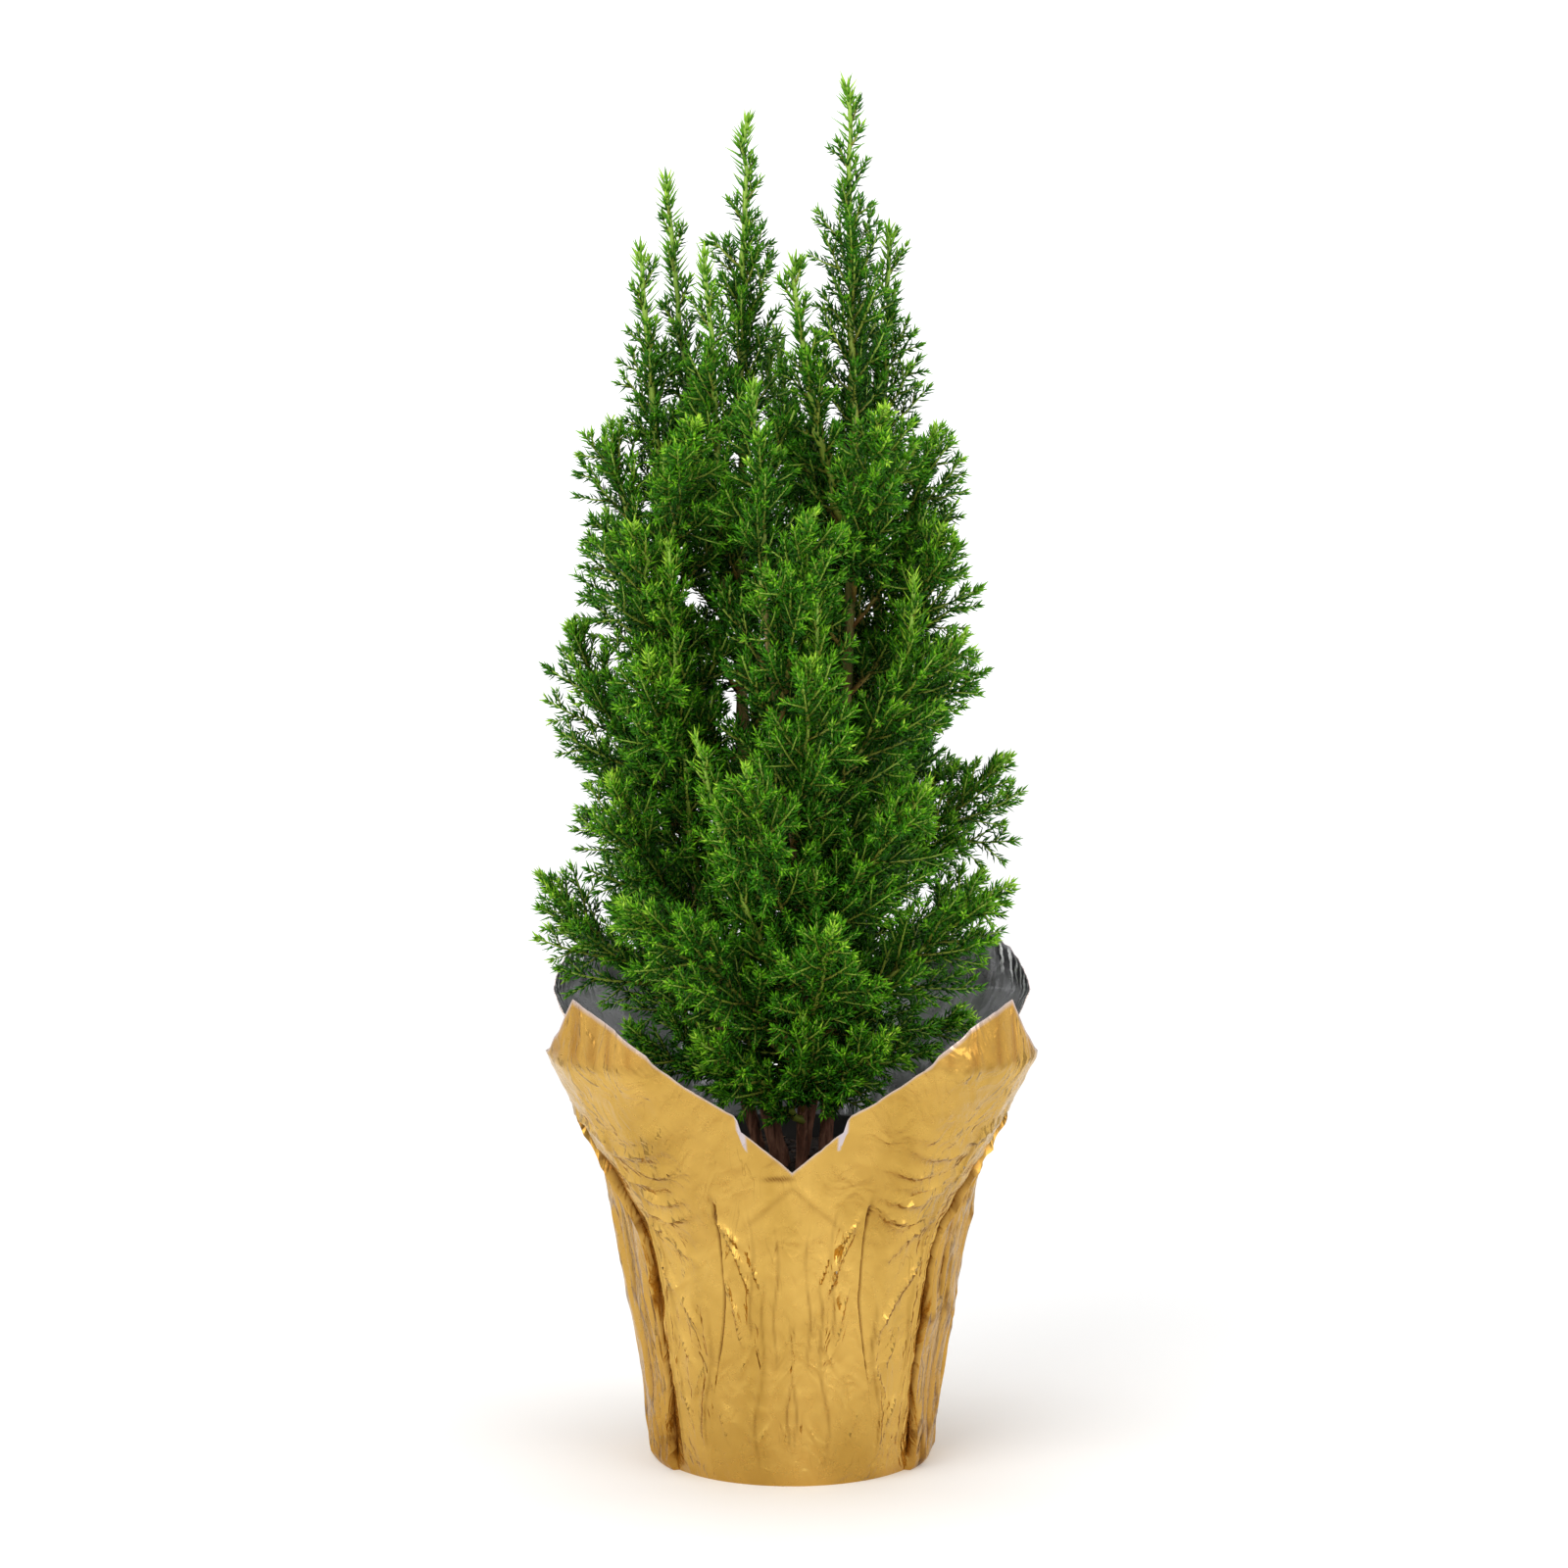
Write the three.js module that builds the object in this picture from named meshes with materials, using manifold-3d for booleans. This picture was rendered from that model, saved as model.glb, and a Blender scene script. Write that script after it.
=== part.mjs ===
// Potted cypress in a foil gift cover: one square sheet of foil pressed round a nursery pot, the pot,
// its potting soil, five woody stems and the leafy shoots that grow on them.
// Millimetres, +Z up, -Y is the front. The origin is the centre of the cover's flat base.
import * as THREE from "three";
import { mergeVertices } from "three/addons/utils/BufferGeometryUtils.js";
import Module from "manifold-3d";

const wasm = await Module();
wasm.setup();

// ---------------------------------------------------------------- driving dimensions
const touchGap = 0.3; // left between pieces that rest on or in each other

const pot = {
  height: 104,
  baseRadius: 43,
  rimRadius: 59,
  rimDepth: 13,
  rimStep: 5, // how far the rim stands out from the wall under it
  wall: 1.3,
  floor: 1.6,
  drainHoles: 6,
  drainRadius: 4.5,
  drainCircle: 29, // radius of the circle that the holes lie on
  segments: 36,
};

const cover = {
  thickness: 0.6,
  baseEase: 2.4, // how far it stands off the pot's base
  rimEase: 1.6, // and off the pot's rim
  bottomRound: 1.5,
  flareAtCorner: 23, // degrees that a corner leans out past the wall's own taper
  flareAtSide: 5,
  flareDropCorner: 34, // how far below the rim a corner starts to lean out
  flareDropSide: 14,
  flareBlend: 22, // length of wall over which the lean comes in
  tipCrease: 49, // rise above the rim's level at which a corner's tip is bent upright
  tipLean: -6, // degrees that the tip leans out above the crease
  columnsPerSide: 16,
  wallRows: 6,
  skirtRows: 8,
};

// How far the sheet's edge stands above the pot's rim, against the angle from a side's middle.
// A corner of the square sheet is at 45 degrees, and a notch is cut in the middle of each side.
const edgeRise = [
  [0, 0],
  [13.5, 12.5],
  [14.6, 18.5],
  [22.5, 34],
  [34.5, 48],
  [45, 69],
];

const soil = {
  belowRim: 8.5,
  mound: 2.5, // how much higher the soil is round the stems than at the wall
  pocketGap: 0.3, // clearance round each planted stem
  segments: 36,
};

// Each stem: its radius at the soil and at its top, how deep it is planted, and the points that it
// passes, from the soil up, as [x, y, height above the pot's rim].
const stems = {
  centre: { foot: 3.1, top: 1.4, depth: 34, path: [[-2, -2], [-11, -3, 24], [-15, 0, 96], [-17, 6, 166], [-17, 9, 221]] },
  right: { foot: 2.4, top: 1.4, depth: 32, path: [[11, 2], [13, 3, 26], [15, 4, 96], [19, 5, 166], [20, 5, 231]] },
  left: { foot: 2.1, top: 1.2, depth: 30, path: [[-9, 5], [-22, 5, 36], [-33, 4, 96], [-40, 3, 156], [-44, 2, 201]] },
  front: { foot: 1.9, top: 1.1, depth: 30, path: [[3, -10], [4, -18, 36], [2, -27, 96], [-4, -33, 146], [-9, -36, 186]] },
  back: { foot: 2.0, top: 1.2, depth: 30, path: [[3, 11], [12, 19, 36], [22, 25, 96], [28, 28, 156], [30, 28, 211]] },
};
const stemSides = 7;
const stemRings = 9;

// Rings of side shoots, from the lowest up: the height above the rim that they leave the stems at,
// how many there are, the ring's middle, the radius and rise of their tips, the turn of the first one
// in degrees, and each shoot's own radius.
const tiers = {
  skirt: { from: 22, count: 6, middle: [0, 0], tipRadius: 60, rise: 24, turn: 0, body: 15 },
  low: { from: 38, count: 7, middle: [-4, 0], tipRadius: 80, rise: 54, turn: 180, body: 23 },
  lower_middle: { from: 72, count: 7, middle: [1, 0], tipRadius: 72, rise: 62, turn: 155, body: 23 },
  middle: { from: 108, count: 7, middle: [-4, 0], tipRadius: 66, rise: 66, turn: 176, body: 22 },
  upper_middle: { from: 148, count: 6, middle: [-5, 0], tipRadius: 62, rise: 68, turn: 160, body: 22 },
  upper: { from: 186, count: 6, middle: [-5, 0], tipRadius: 58, rise: 62, turn: 184, body: 18 },
};
const tierWander = 5; // how much the tips of a ring differ from each other

// Shoots that stand up out of the crown: the stem that bears each, how far below that stem's top it
// starts, its tip as [x, y, height above the rim], and its radius.
const leaders = {
  left: { stem: "left", below: 0, tip: [-50, 0, 301], body: 13 },
  left_back: { stem: "centre", below: 44, tip: [-41, 22, 324], body: 13 },
  left_inner: { stem: "centre", below: 26, tip: [-28, -14, 300], body: 13 },
  centre: { stem: "centre", below: 0, tip: [-15, 8, 343], body: 14 },
  right: { stem: "right", below: 0, tip: [19, 2, 355], body: 15 },
  right_inner: { stem: "right", below: 22, tip: [0, -10, 298], body: 13 },
  right_back: { stem: "back", below: 0, tip: [32, 20, 306], body: 14 },
  front: { stem: "front", below: 0, tip: [-12, -39, 258], body: 15 },
  back: { stem: "back", below: 40, tip: [-6, 36, 272], body: 15 },
};

const shoot = {
  sides: 8,
  rings: 8,
  gap: 1.1, // kept between neighbouring shoots, and between a shoot and a stem
  upsweep: 0.32, // how much of its lean a side shoot loses towards its tip
};

// ---------------------------------------------------------------- shared places
const neckRadius = pot.rimRadius - pot.rimStep; // outside of the pot's wall, just under the rim
const neckHeight = pot.height - pot.rimDepth;
const wallLean = Math.atan2(
  pot.rimRadius + cover.rimEase - (pot.baseRadius + cover.baseEase),
  neckHeight,
);
const potSeat = cover.thickness + touchGap;
const rimLevel = potSeat + pot.height;
const soilLevel = rimLevel - soil.belowRim;
const radians = THREE.MathUtils.degToRad;
const smooth = THREE.MathUtils.smoothstep;

// ---------------------------------------------------------------- geometry helpers
// A three.js geometry as a manifold-3d solid, and back.
function toSolid(geometry) {
  const bare = geometry.clone();
  for (const name of Object.keys(bare.attributes)) if (name !== "position") bare.deleteAttribute(name);
  const merged = mergeVertices(bare, 1e-4);
  return new wasm.Manifold(
    new wasm.Mesh({
      numProp: 3,
      vertProperties: merged.attributes.position.array,
      triVerts: new Uint32Array(merged.index.array),
    }),
  );
}

function toGeometry(solid) {
  const mesh = solid.getMesh();
  const geometry = new THREE.BufferGeometry();
  geometry.setAttribute("position", new THREE.BufferAttribute(mesh.vertProperties, 3));
  geometry.setIndex(new THREE.BufferAttribute(mesh.triVerts, 1));
  geometry.computeVertexNormals();
  return geometry;
}

// A solid of revolution about +Z from [radius, height] points that start and end on the axis.
function turned(profile, segments) {
  const points = profile.map(([r, z]) => new THREE.Vector2(r, z));
  return new THREE.LatheGeometry(points, segments).rotateX(Math.PI / 2);
}

// A closed round body along a curve. radiusAt(step, outward, centre) gives its radius at ring number
// step in the direction outward. Both ends close on the curve.
function bodyAlong(curve, rings, sides, radiusAt) {
  const frames = curve.computeFrenetFrames(rings, false);
  const profile = Array.from({ length: rings + 1 }, (_, i) => new THREE.Vector2(0.001 + (i > 0 && i < rings), i));
  profile.unshift(new THREE.Vector2(0, 0));
  profile.push(new THREE.Vector2(0, rings));
  const body = new THREE.LatheGeometry(profile, sides);
  const place = body.attributes.position;
  const across = new THREE.Vector3();
  for (let i = 0; i < place.count; i++) {
    const step = Math.round(place.getY(i));
    const centre = curve.getPointAt(step / rings);
    const turnedSide = frames.binormals[step].clone().negate();
    across.copy(frames.normals[step]).multiplyScalar(place.getX(i)).addScaledVector(turnedSide, place.getZ(i));
    const onAxis = across.length() < 1e-6;
    if (!onAxis) across.normalize().multiplyScalar(radiusAt(step, across.clone().normalize(), centre));
    place.setXYZ(i, centre.x + across.x, centre.y + across.y, centre.z + across.z);
  }
  return body;
}

// ---------------------------------------------------------------- foil cover
// Half-angle from the nearest side's middle, 0 to 45 degrees, for a direction round the cover.
function angleFromSide(degrees) {
  const within = ((degrees % 90) + 90) % 90;
  return Math.min(within, 90 - within);
}

function riseAt(degrees) {
  const at = angleFromSide(degrees);
  const next = edgeRise.findIndex(([a]) => a >= at - 1e-9);
  if (next <= 0) return edgeRise[0][1];
  const [a0, h0] = edgeRise[next - 1];
  const [a1, h1] = edgeRise[next];
  return h0 + ((h1 - h0) * (at - a0)) / (a1 - a0);
}

const rimAlongWall = rimLevel / Math.cos(wallLean);
const cornerStart = rimAlongWall - cover.flareDropCorner;

// The cover's outside in the direction given, at a distance up the sheet from the edge of its base:
// [radius, height, lean from upright].
function coverAt(degrees, along) {
  const corner = smooth(angleFromSide(degrees) / 34, 0, 1);
  const start = THREE.MathUtils.lerp(rimAlongWall - cover.flareDropSide, cornerStart, corner);
  const flare = radians(THREE.MathUtils.lerp(cover.flareAtSide, cover.flareAtCorner, corner));
  const crease = rimAlongWall + cover.tipCrease;
  const strip = 2; // the sheet is followed in strips of this length
  let radius = pot.baseRadius + cover.baseEase;
  let height = 0;
  let lean = wallLean;
  for (let done = 0; done < along; done += strip) {
    const length = Math.min(strip, along - done);
    lean = wallLean + flare * smooth(done, start, start + cover.flareBlend);
    lean = THREE.MathUtils.lerp(lean, radians(cover.tipLean), smooth(done, crease - 3, crease + 3));
    radius += Math.sin(lean) * length;
    height += Math.cos(lean) * length;
  }
  return [radius, height, lean];
}

function foilCover() {
  const angles = [];
  for (let side = 0; side < 4; side++) {
    const half = cover.columnsPerSide / 2;
    const inner = edgeRise[1][0];
    const outer = edgeRise[2][0];
    const steps = [0, inner / 2, inner, outer];
    for (let i = 1; i <= half - 3; i++) steps.push(outer + ((45 - outer) * i) / (half - 3));
    const mirrored = steps.slice(1, -1).map((a) => -a).reverse();
    for (const a of [...mirrored, ...steps]) angles.push(side * 90 + a);
  }
  const columns = angles.map((degrees) => {
    const edge = rimAlongWall + riseAt(degrees);
    const sheet = [];
    for (let i = 0; i <= cover.wallRows; i++) sheet.push((cornerStart * i) / cover.wallRows);
    for (let i = 1; i <= cover.skirtRows; i++)
      sheet.push(cornerStart + ((edge - cornerStart) * i) / cover.skirtRows);
    const turn = radians(degrees);
    const at = (radius, height) => [radius * Math.cos(turn), radius * Math.sin(turn), height];
    const outside = sheet.map((along) => {
      const [radius, height] = coverAt(degrees, along);
      return at(along === 0 ? radius - cover.bottomRound : radius, height);
    });
    const inside = sheet.map((along) => {
      const [radius, height, lean] = coverAt(degrees, along);
      const inner = radius - cover.thickness * Math.cos(lean);
      return along === 0
        ? at(radius - cover.bottomRound - cover.thickness, cover.thickness)
        : at(inner, height + cover.thickness * Math.sin(lean));
    });
    return [...outside, ...inside.reverse()];
  });

  const places = columns.flat(2);
  const rows = columns[0].length;
  const under = places.length / 3;
  places.push(0, 0, 0, 0, 0, cover.thickness); // the middle of the base, below and above
  const faces = [];
  columns.forEach((_, c) => {
    const here = c * rows;
    const next = ((c + 1) % columns.length) * rows;
    for (let r = 0; r < rows - 1; r++) {
      faces.push(here + r, next + r, next + r + 1, here + r, next + r + 1, here + r + 1);
    }
    faces.push(under, next, here, under + 1, here + rows - 1, next + rows - 1);
  });
  const geometry = new THREE.BufferGeometry();
  geometry.setAttribute("position", new THREE.Float32BufferAttribute(places, 3));
  geometry.setIndex(faces);
  geometry.computeVertexNormals();
  return geometry;
}

// ---------------------------------------------------------------- pot and soil
function wallInsideRadius(height) {
  const slope = (neckRadius - pot.baseRadius) / neckHeight;
  return pot.baseRadius + slope * Math.min(height, neckHeight) - pot.wall;
}

function nurseryPot() {
  const rimInside = pot.rimRadius - pot.wall;
  const profile = [
    [0, 0],
    [pot.baseRadius, 0],
    [neckRadius, neckHeight],
    [pot.rimRadius, neckHeight],
    [pot.rimRadius, pot.height],
    [rimInside, pot.height],
    [rimInside, neckHeight + pot.wall],
    [wallInsideRadius(neckHeight), neckHeight + pot.wall],
    [wallInsideRadius(0), pot.floor],
    [0, pot.floor],
  ];
  const drain = new THREE.CylinderGeometry(pot.drainRadius, pot.drainRadius, 4 * pot.floor, 14).rotateX(Math.PI / 2);
  let solid = toSolid(turned(profile, pot.segments));
  for (let i = 0; i < pot.drainHoles; i++) {
    const turn = (2 * Math.PI * i) / pot.drainHoles;
    const hole = drain.clone().translate(pot.drainCircle * Math.cos(turn), pot.drainCircle * Math.sin(turn), 0);
    solid = solid.subtract(toSolid(hole));
  }
  return toGeometry(solid).translate(0, 0, potSeat);
}

function pottingSoil() {
  const top = pot.height - soil.belowRim;
  const wide = pot.rimRadius - pot.wall - touchGap;
  const ledge = neckHeight + pot.wall + touchGap;
  const profile = [
    [0, pot.floor + touchGap],
    [wallInsideRadius(0) - touchGap, pot.floor + touchGap],
    [wallInsideRadius(neckHeight) - touchGap, ledge],
    [wide, ledge],
    [wide, top],
    [wide * 0.55, top + soil.mound * 0.6],
    [0, top + soil.mound],
  ];
  let solid = toSolid(turned(profile, soil.segments).translate(0, 0, potSeat));
  for (const name of Object.keys(stems)) solid = solid.subtract(toSolid(woodyStem(name, soil.pocketGap)));
  return toGeometry(solid);
}

// ---------------------------------------------------------------- stems
// A planted stem's curve, from its buried foot to its top.
function stemCurve(name) {
  const { depth, path } = stems[name];
  const [[footX, footY], ...rest] = path;
  return new THREE.CatmullRomCurve3(
    [
      new THREE.Vector3(footX, footY, soilLevel - depth),
      new THREE.Vector3(footX, footY, soilLevel + soil.mound),
      ...rest.map(([x, y, above]) => new THREE.Vector3(x, y, rimLevel + above)),
    ],
    false,
    "centripetal",
  );
}

function woodyStem(name, grown = 0) {
  const { foot, top } = stems[name];
  const radius = (step) => THREE.MathUtils.lerp(foot, top, step / stemRings) + grown;
  const curve = grown ? lengthened(stemCurve(name), grown) : stemCurve(name);
  return bodyAlong(curve, stemRings, stemSides, radius);
}

// The same curve with its lower end moved down, for the pocket that a stem stands in.
function lengthened(curve, extra) {
  const longer = curve.clone();
  longer.points[0].z -= extra;
  return longer;
}

// The point on a stem at a height, found by halving.
function stemPointAt(curve, height) {
  let low = 0;
  let high = 1;
  for (let i = 0; i < 24; i++) {
    const middle = (low + high) / 2;
    if (curve.getPointAt(middle).z < height) low = middle;
    else high = middle;
  }
  return curve.getPointAt(low);
}

// ---------------------------------------------------------------- leafy shoots
const stemCurves = Object.fromEntries(Object.keys(stems).map((name) => [name, stemCurve(name)]));

// The stem that stands furthest out in a direction at a height bears the side shoot there.
function bearer(direction, height) {
  const reach = (name) => {
    const curve = stemCurves[name];
    if (curve.getPointAt(1).z < height + 1) return -Infinity;
    return stemPointAt(curve, height).dot(direction);
  };
  return Object.keys(stems).reduce((best, name) => (reach(name) > reach(best) ? name : best));
}

function sideShoot(tier, index) {
  const [middleX, middleY] = tier.middle;
  const degrees = tier.turn + (360 * index) / tier.count;
  const out = new THREE.Vector3(Math.cos(radians(degrees)), Math.sin(radians(degrees)), 0);
  const height = rimLevel + tier.from;
  const stem = bearer(out, height);
  const wander = tierWander * Math.sin(2.4 * index + tier.from);
  const clearOfBark = THREE.MathUtils.lerp(stems[stem].foot, stems[stem].top, 0.4) + shoot.gap;
  const start = stemPointAt(stemCurves[stem], height).addScaledVector(out, clearOfBark);
  const tip = out.clone().multiplyScalar(tier.tipRadius + wander);
  tip.add(new THREE.Vector3(middleX, middleY, height + tier.rise + wander));
  const elbow = start.clone().lerp(tip, 0.5).addScaledVector(out, shoot.upsweep * 0.25 * tier.rise);
  elbow.z -= shoot.upsweep * 0.25 * tier.rise;
  return { curve: new THREE.QuadraticBezierCurve3(start, elbow, tip), body: tier.body, conical: false };
}

function leaderShoot({ stem, below, tip, body }) {
  const curve = stemCurves[stem];
  const end = curve.getPointAt(1);
  const goal = new THREE.Vector3(tip[0], tip[1], rimLevel + tip[2]);
  const start = below ? stemPointAt(curve, end.z - below) : end;
  const away = goal.clone().sub(start).setZ(0);
  if (below) start.addScaledVector(away.normalize(), stems[stem].top + shoot.gap + 0.6);
  else start.addScaledVector(curve.getTangentAt(1), touchGap);
  const elbow = start.clone().lerp(goal, 0.45);
  if (below) elbow.add(away.multiplyScalar(0.06 * goal.distanceTo(start)));
  return { curve: new THREE.QuadraticBezierCurve3(start, elbow, goal), body, conical: true };
}

const shoots = {};
for (const [name, tier] of Object.entries(tiers))
  for (let i = 0; i < tier.count; i++) shoots[`leafy_shoot_${name}_${i + 1}`] = sideShoot(tier, i);
for (const [name, leader] of Object.entries(leaders)) shoots[`leafy_leader_${name}`] = leaderShoot(leader);

// Straight pieces of each shoot's and stem's curve, for measuring how far a point is from it.
const lines = {};
for (const [name, { curve }] of Object.entries(shoots)) lines[name] = curve.getPoints(8);
for (const name of Object.keys(stems)) lines[name] = stemCurves[name].getPoints(14);

const nearest = new THREE.Vector3();
function distanceTo(name, point) {
  const points = lines[name];
  const piece = new THREE.Line3();
  let least = Infinity;
  for (let i = 1; i < points.length; i++) {
    piece.set(points[i - 1], points[i]).closestPointToPoint(point, true, nearest);
    least = Math.min(least, nearest.distanceTo(point));
  }
  return least;
}

// How full a shoot is along its length: a leader narrows all the way up, a side shoot is fullest
// before its middle.
function fullness(share, conical) {
  const foot = smooth(share, -0.06, 0.3);
  return conical ? foot * (1 - share) ** 0.5 * 1.1 : foot * (1 - share ** 3) ** 0.8;
}

function leafyShoot(name) {
  const { curve, body, conical } = shoots[name];
  const others = Object.keys(shoots).filter((other) => other !== name);
  const probe = new THREE.Vector3();
  const clear = (point, reach) =>
    others.every((other) => distanceTo(other, point) * (body / shoots[other].body) > reach + shoot.gap) &&
    Object.keys(stems).every((stem) => distanceTo(stem, point) > Math.max(stems[stem].foot + shoot.gap, reach / 2)) &&
    insideCover(point, shoot.gap);
  const radiusAt = (step, outward, centre) => {
    const wanted = Math.max(body * fullness(step / shoot.rings, conical), 0.3);
    const room = wanted / 12;
    let reach = Math.min(0.6, wanted);
    while (reach + room <= wanted && clear(probe.copy(centre).addScaledVector(outward, reach + room), reach + room))
      reach += room;
    return reach;
  };
  return bodyAlong(curve, shoot.rings, shoot.sides, radiusAt);
}

// Whether a point is well inside the cover's skirt, or above its edge.
function insideCover(point, gap) {
  const degrees = THREE.MathUtils.radToDeg(Math.atan2(point.y, point.x));
  const edge = rimAlongWall + riseAt(degrees);
  if (point.z > coverAt(degrees, edge)[1] + 4) return true;
  let low = 0;
  let high = edge;
  for (let i = 0; i < 8; i++) {
    const middle = (low + high) / 2;
    if (coverAt(degrees, middle)[1] < point.z) low = middle;
    else high = middle;
  }
  return Math.hypot(point.x, point.y) < coverAt(degrees, low)[0] - 4 - gap;
}

// ---------------------------------------------------------------- materials and assembly
const finish = {
  goldFoil: new THREE.MeshStandardMaterial({ color: 0xcfa24a, roughness: 0.34, metalness: 1 }),
  blackPlastic: new THREE.MeshStandardMaterial({ color: 0x1c1c1b, roughness: 0.6, metalness: 0 }),
  darkSoil: new THREE.MeshStandardMaterial({ color: 0x2b1c12, roughness: 0.95, metalness: 0 }),
  redBark: new THREE.MeshStandardMaterial({ color: 0x6d4026, roughness: 0.85, metalness: 0 }),
  leaf: new THREE.MeshStandardMaterial({ color: 0x2f7a1c, roughness: 0.55, metalness: 0 }),
};

const pottedCypress = new THREE.Group();

function add(name, geometry, material) {
  const mesh = new THREE.Mesh(geometry, material);
  mesh.name = name;
  pottedCypress.add(mesh);
}

add("foil_cover", foilCover(), finish.goldFoil);
add("nursery_pot", nurseryPot(), finish.blackPlastic);
add("potting_soil", pottingSoil(), finish.darkSoil);
for (const name of Object.keys(stems)) add(`woody_stem_${name}`, woodyStem(name), finish.redBark);
for (const name of Object.keys(shoots)) add(name, leafyShoot(name), finish.leaf);

export default pottedCypress;
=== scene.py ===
"""A potted cypress in a pressed foil gift cover: the foil sheet, the nursery pot and its soil, the barky
stems, and one piece of needled twigs for each leafy shoot. Everything is in metres; -Y is the front."""
import math

import bmesh
import bpy
import numpy as np
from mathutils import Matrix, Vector
from mathutils.bvhtree import BVHTree


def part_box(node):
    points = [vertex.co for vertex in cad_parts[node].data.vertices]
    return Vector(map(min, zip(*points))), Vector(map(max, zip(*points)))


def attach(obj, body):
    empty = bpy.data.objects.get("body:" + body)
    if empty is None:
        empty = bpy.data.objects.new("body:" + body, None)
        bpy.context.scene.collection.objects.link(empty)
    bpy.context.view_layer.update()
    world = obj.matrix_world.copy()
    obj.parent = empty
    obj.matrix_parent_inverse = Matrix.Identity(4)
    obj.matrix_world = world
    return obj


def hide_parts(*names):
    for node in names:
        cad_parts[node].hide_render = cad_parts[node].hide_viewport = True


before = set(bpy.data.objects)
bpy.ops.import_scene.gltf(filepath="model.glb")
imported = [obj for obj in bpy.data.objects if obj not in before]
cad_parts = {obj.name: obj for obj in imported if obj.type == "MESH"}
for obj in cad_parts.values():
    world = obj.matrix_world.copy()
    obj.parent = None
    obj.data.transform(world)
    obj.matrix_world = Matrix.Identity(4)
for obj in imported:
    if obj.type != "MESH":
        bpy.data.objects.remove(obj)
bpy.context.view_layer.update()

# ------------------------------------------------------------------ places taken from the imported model
pot_low, pot_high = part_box("nursery_pot")
soil_low, soil_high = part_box("potting_soil")
RIM_LEVEL = pot_high[2]
RIM_RADIUS = pot_high[0]
GOLDEN_ANGLE = 2.39996
FILM_THICKNESS = 0.00025
PLASTIC_THICKNESS = 0.0012


def corner_points(mesh):
    points = np.empty(len(mesh.vertices) * 3)
    mesh.vertices.foreach_get("co", points)
    return points.reshape(-1, 3)


def node_points(name):
    """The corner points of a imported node, each one once, as an array."""
    return np.unique(corner_points(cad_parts[name].data).round(6), axis=0)


cover_points = node_points("foil_cover")
BASE_RADIUS = np.hypot(*cover_points[cover_points[:, 2] < 1e-5][:, :2].T).max()


# ------------------------------------------------------------------ small helpers
def deselect_all():
    if bpy.context.object and bpy.context.object.mode != "OBJECT":
        bpy.ops.object.mode_set(mode="OBJECT")
    bpy.ops.object.select_all(action="DESELECT")


def only(obj):
    """Makes obj the one selected, active object."""
    deselect_all()
    obj.select_set(True)
    bpy.context.view_layer.objects.active = obj


def hump(x, wide):
    """A smooth rise to 1 where x is 0, falling away on both sides."""
    return np.exp(-((x / wide) ** 2))


def smooth_step(x, low, high):
    t = np.clip((x - low) / (high - low), 0.0, 1.0)
    return t * t * (3 - 2 * t)


def object_of(mesh):
    """A new object in the scene with this mesh, and with its name."""
    obj = bpy.data.objects.new(mesh.name, mesh)
    bpy.context.scene.collection.objects.link(obj)
    return obj


def named(name):
    """Names the primitive that was just added, and gives it."""
    obj = bpy.context.object
    obj.name = obj.data.name = name
    return obj


def edit_all():
    """Opens edit mode with everything selected."""
    bpy.ops.object.mode_set(mode="EDIT")
    bpy.ops.mesh.select_all(action="SELECT")


def close_edit(inside=False):
    """Turns every face the right way and leaves edit mode."""
    bpy.ops.mesh.select_all(action="SELECT")
    bpy.ops.mesh.normals_make_consistent(inside=inside)
    bpy.ops.object.mode_set(mode="OBJECT")


def select_rim():
    """Selects the open edge of the shape in edit mode."""
    bpy.ops.mesh.select_mode(type="EDGE")
    bpy.ops.mesh.select_all(action="DESELECT")
    bpy.ops.mesh.select_non_manifold()


def draw_rim(rise, widen=None):
    """Extrudes the selected edge upwards, and widens what it drew."""
    bpy.ops.mesh.extrude_region_move(TRANSFORM_OT_translate={"value": (0, 0, rise)})
    if widen:
        bpy.ops.transform.resize(value=(widen, widen, 1), center_override=(0, 0, 0))


def put_in_frame(obj, slot, *nodes):
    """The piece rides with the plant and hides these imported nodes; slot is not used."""
    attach(obj, "root")
    if nodes:
        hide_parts(*nodes)


def unit(vectors):
    return vectors / np.maximum(np.linalg.norm(vectors, axis=-1, keepdims=True), 1e-12)


class Weave:
    """Smooth random values on a net of cells that closes on itself round the pot. Values are 0 to 1."""

    def __init__(self, seed, around, up):
        self.values = np.random.default_rng(seed).random((around, up + 2))
        self.around, self.up = around, up

    def at(self, turn, height):
        """turn and height are each 0 to 1, turn going once round."""
        x = (turn % 1.0) * self.around
        y = np.clip(height, 0.0, 1.0) * self.up
        column, row = np.floor(x).astype(int), np.floor(y).astype(int)
        fx, fy = x - column, y - row
        fx, fy = fx * fx * (3 - 2 * fx), fy * fy * (3 - 2 * fy)
        left, right = column % self.around, (column + 1) % self.around
        low = self.values[left, row] * (1 - fx) + self.values[right, row] * fx
        high = self.values[left, row + 1] * (1 - fx) + self.values[right, row + 1] * fx
        return low * (1 - fy) + high * fy

    def ridge(self, turn, height):
        """The same net creased into sharp lines: 1 on a line, falling away on both sides."""
        return 1 - np.abs(2 * self.at(turn, height) - 1)


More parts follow.
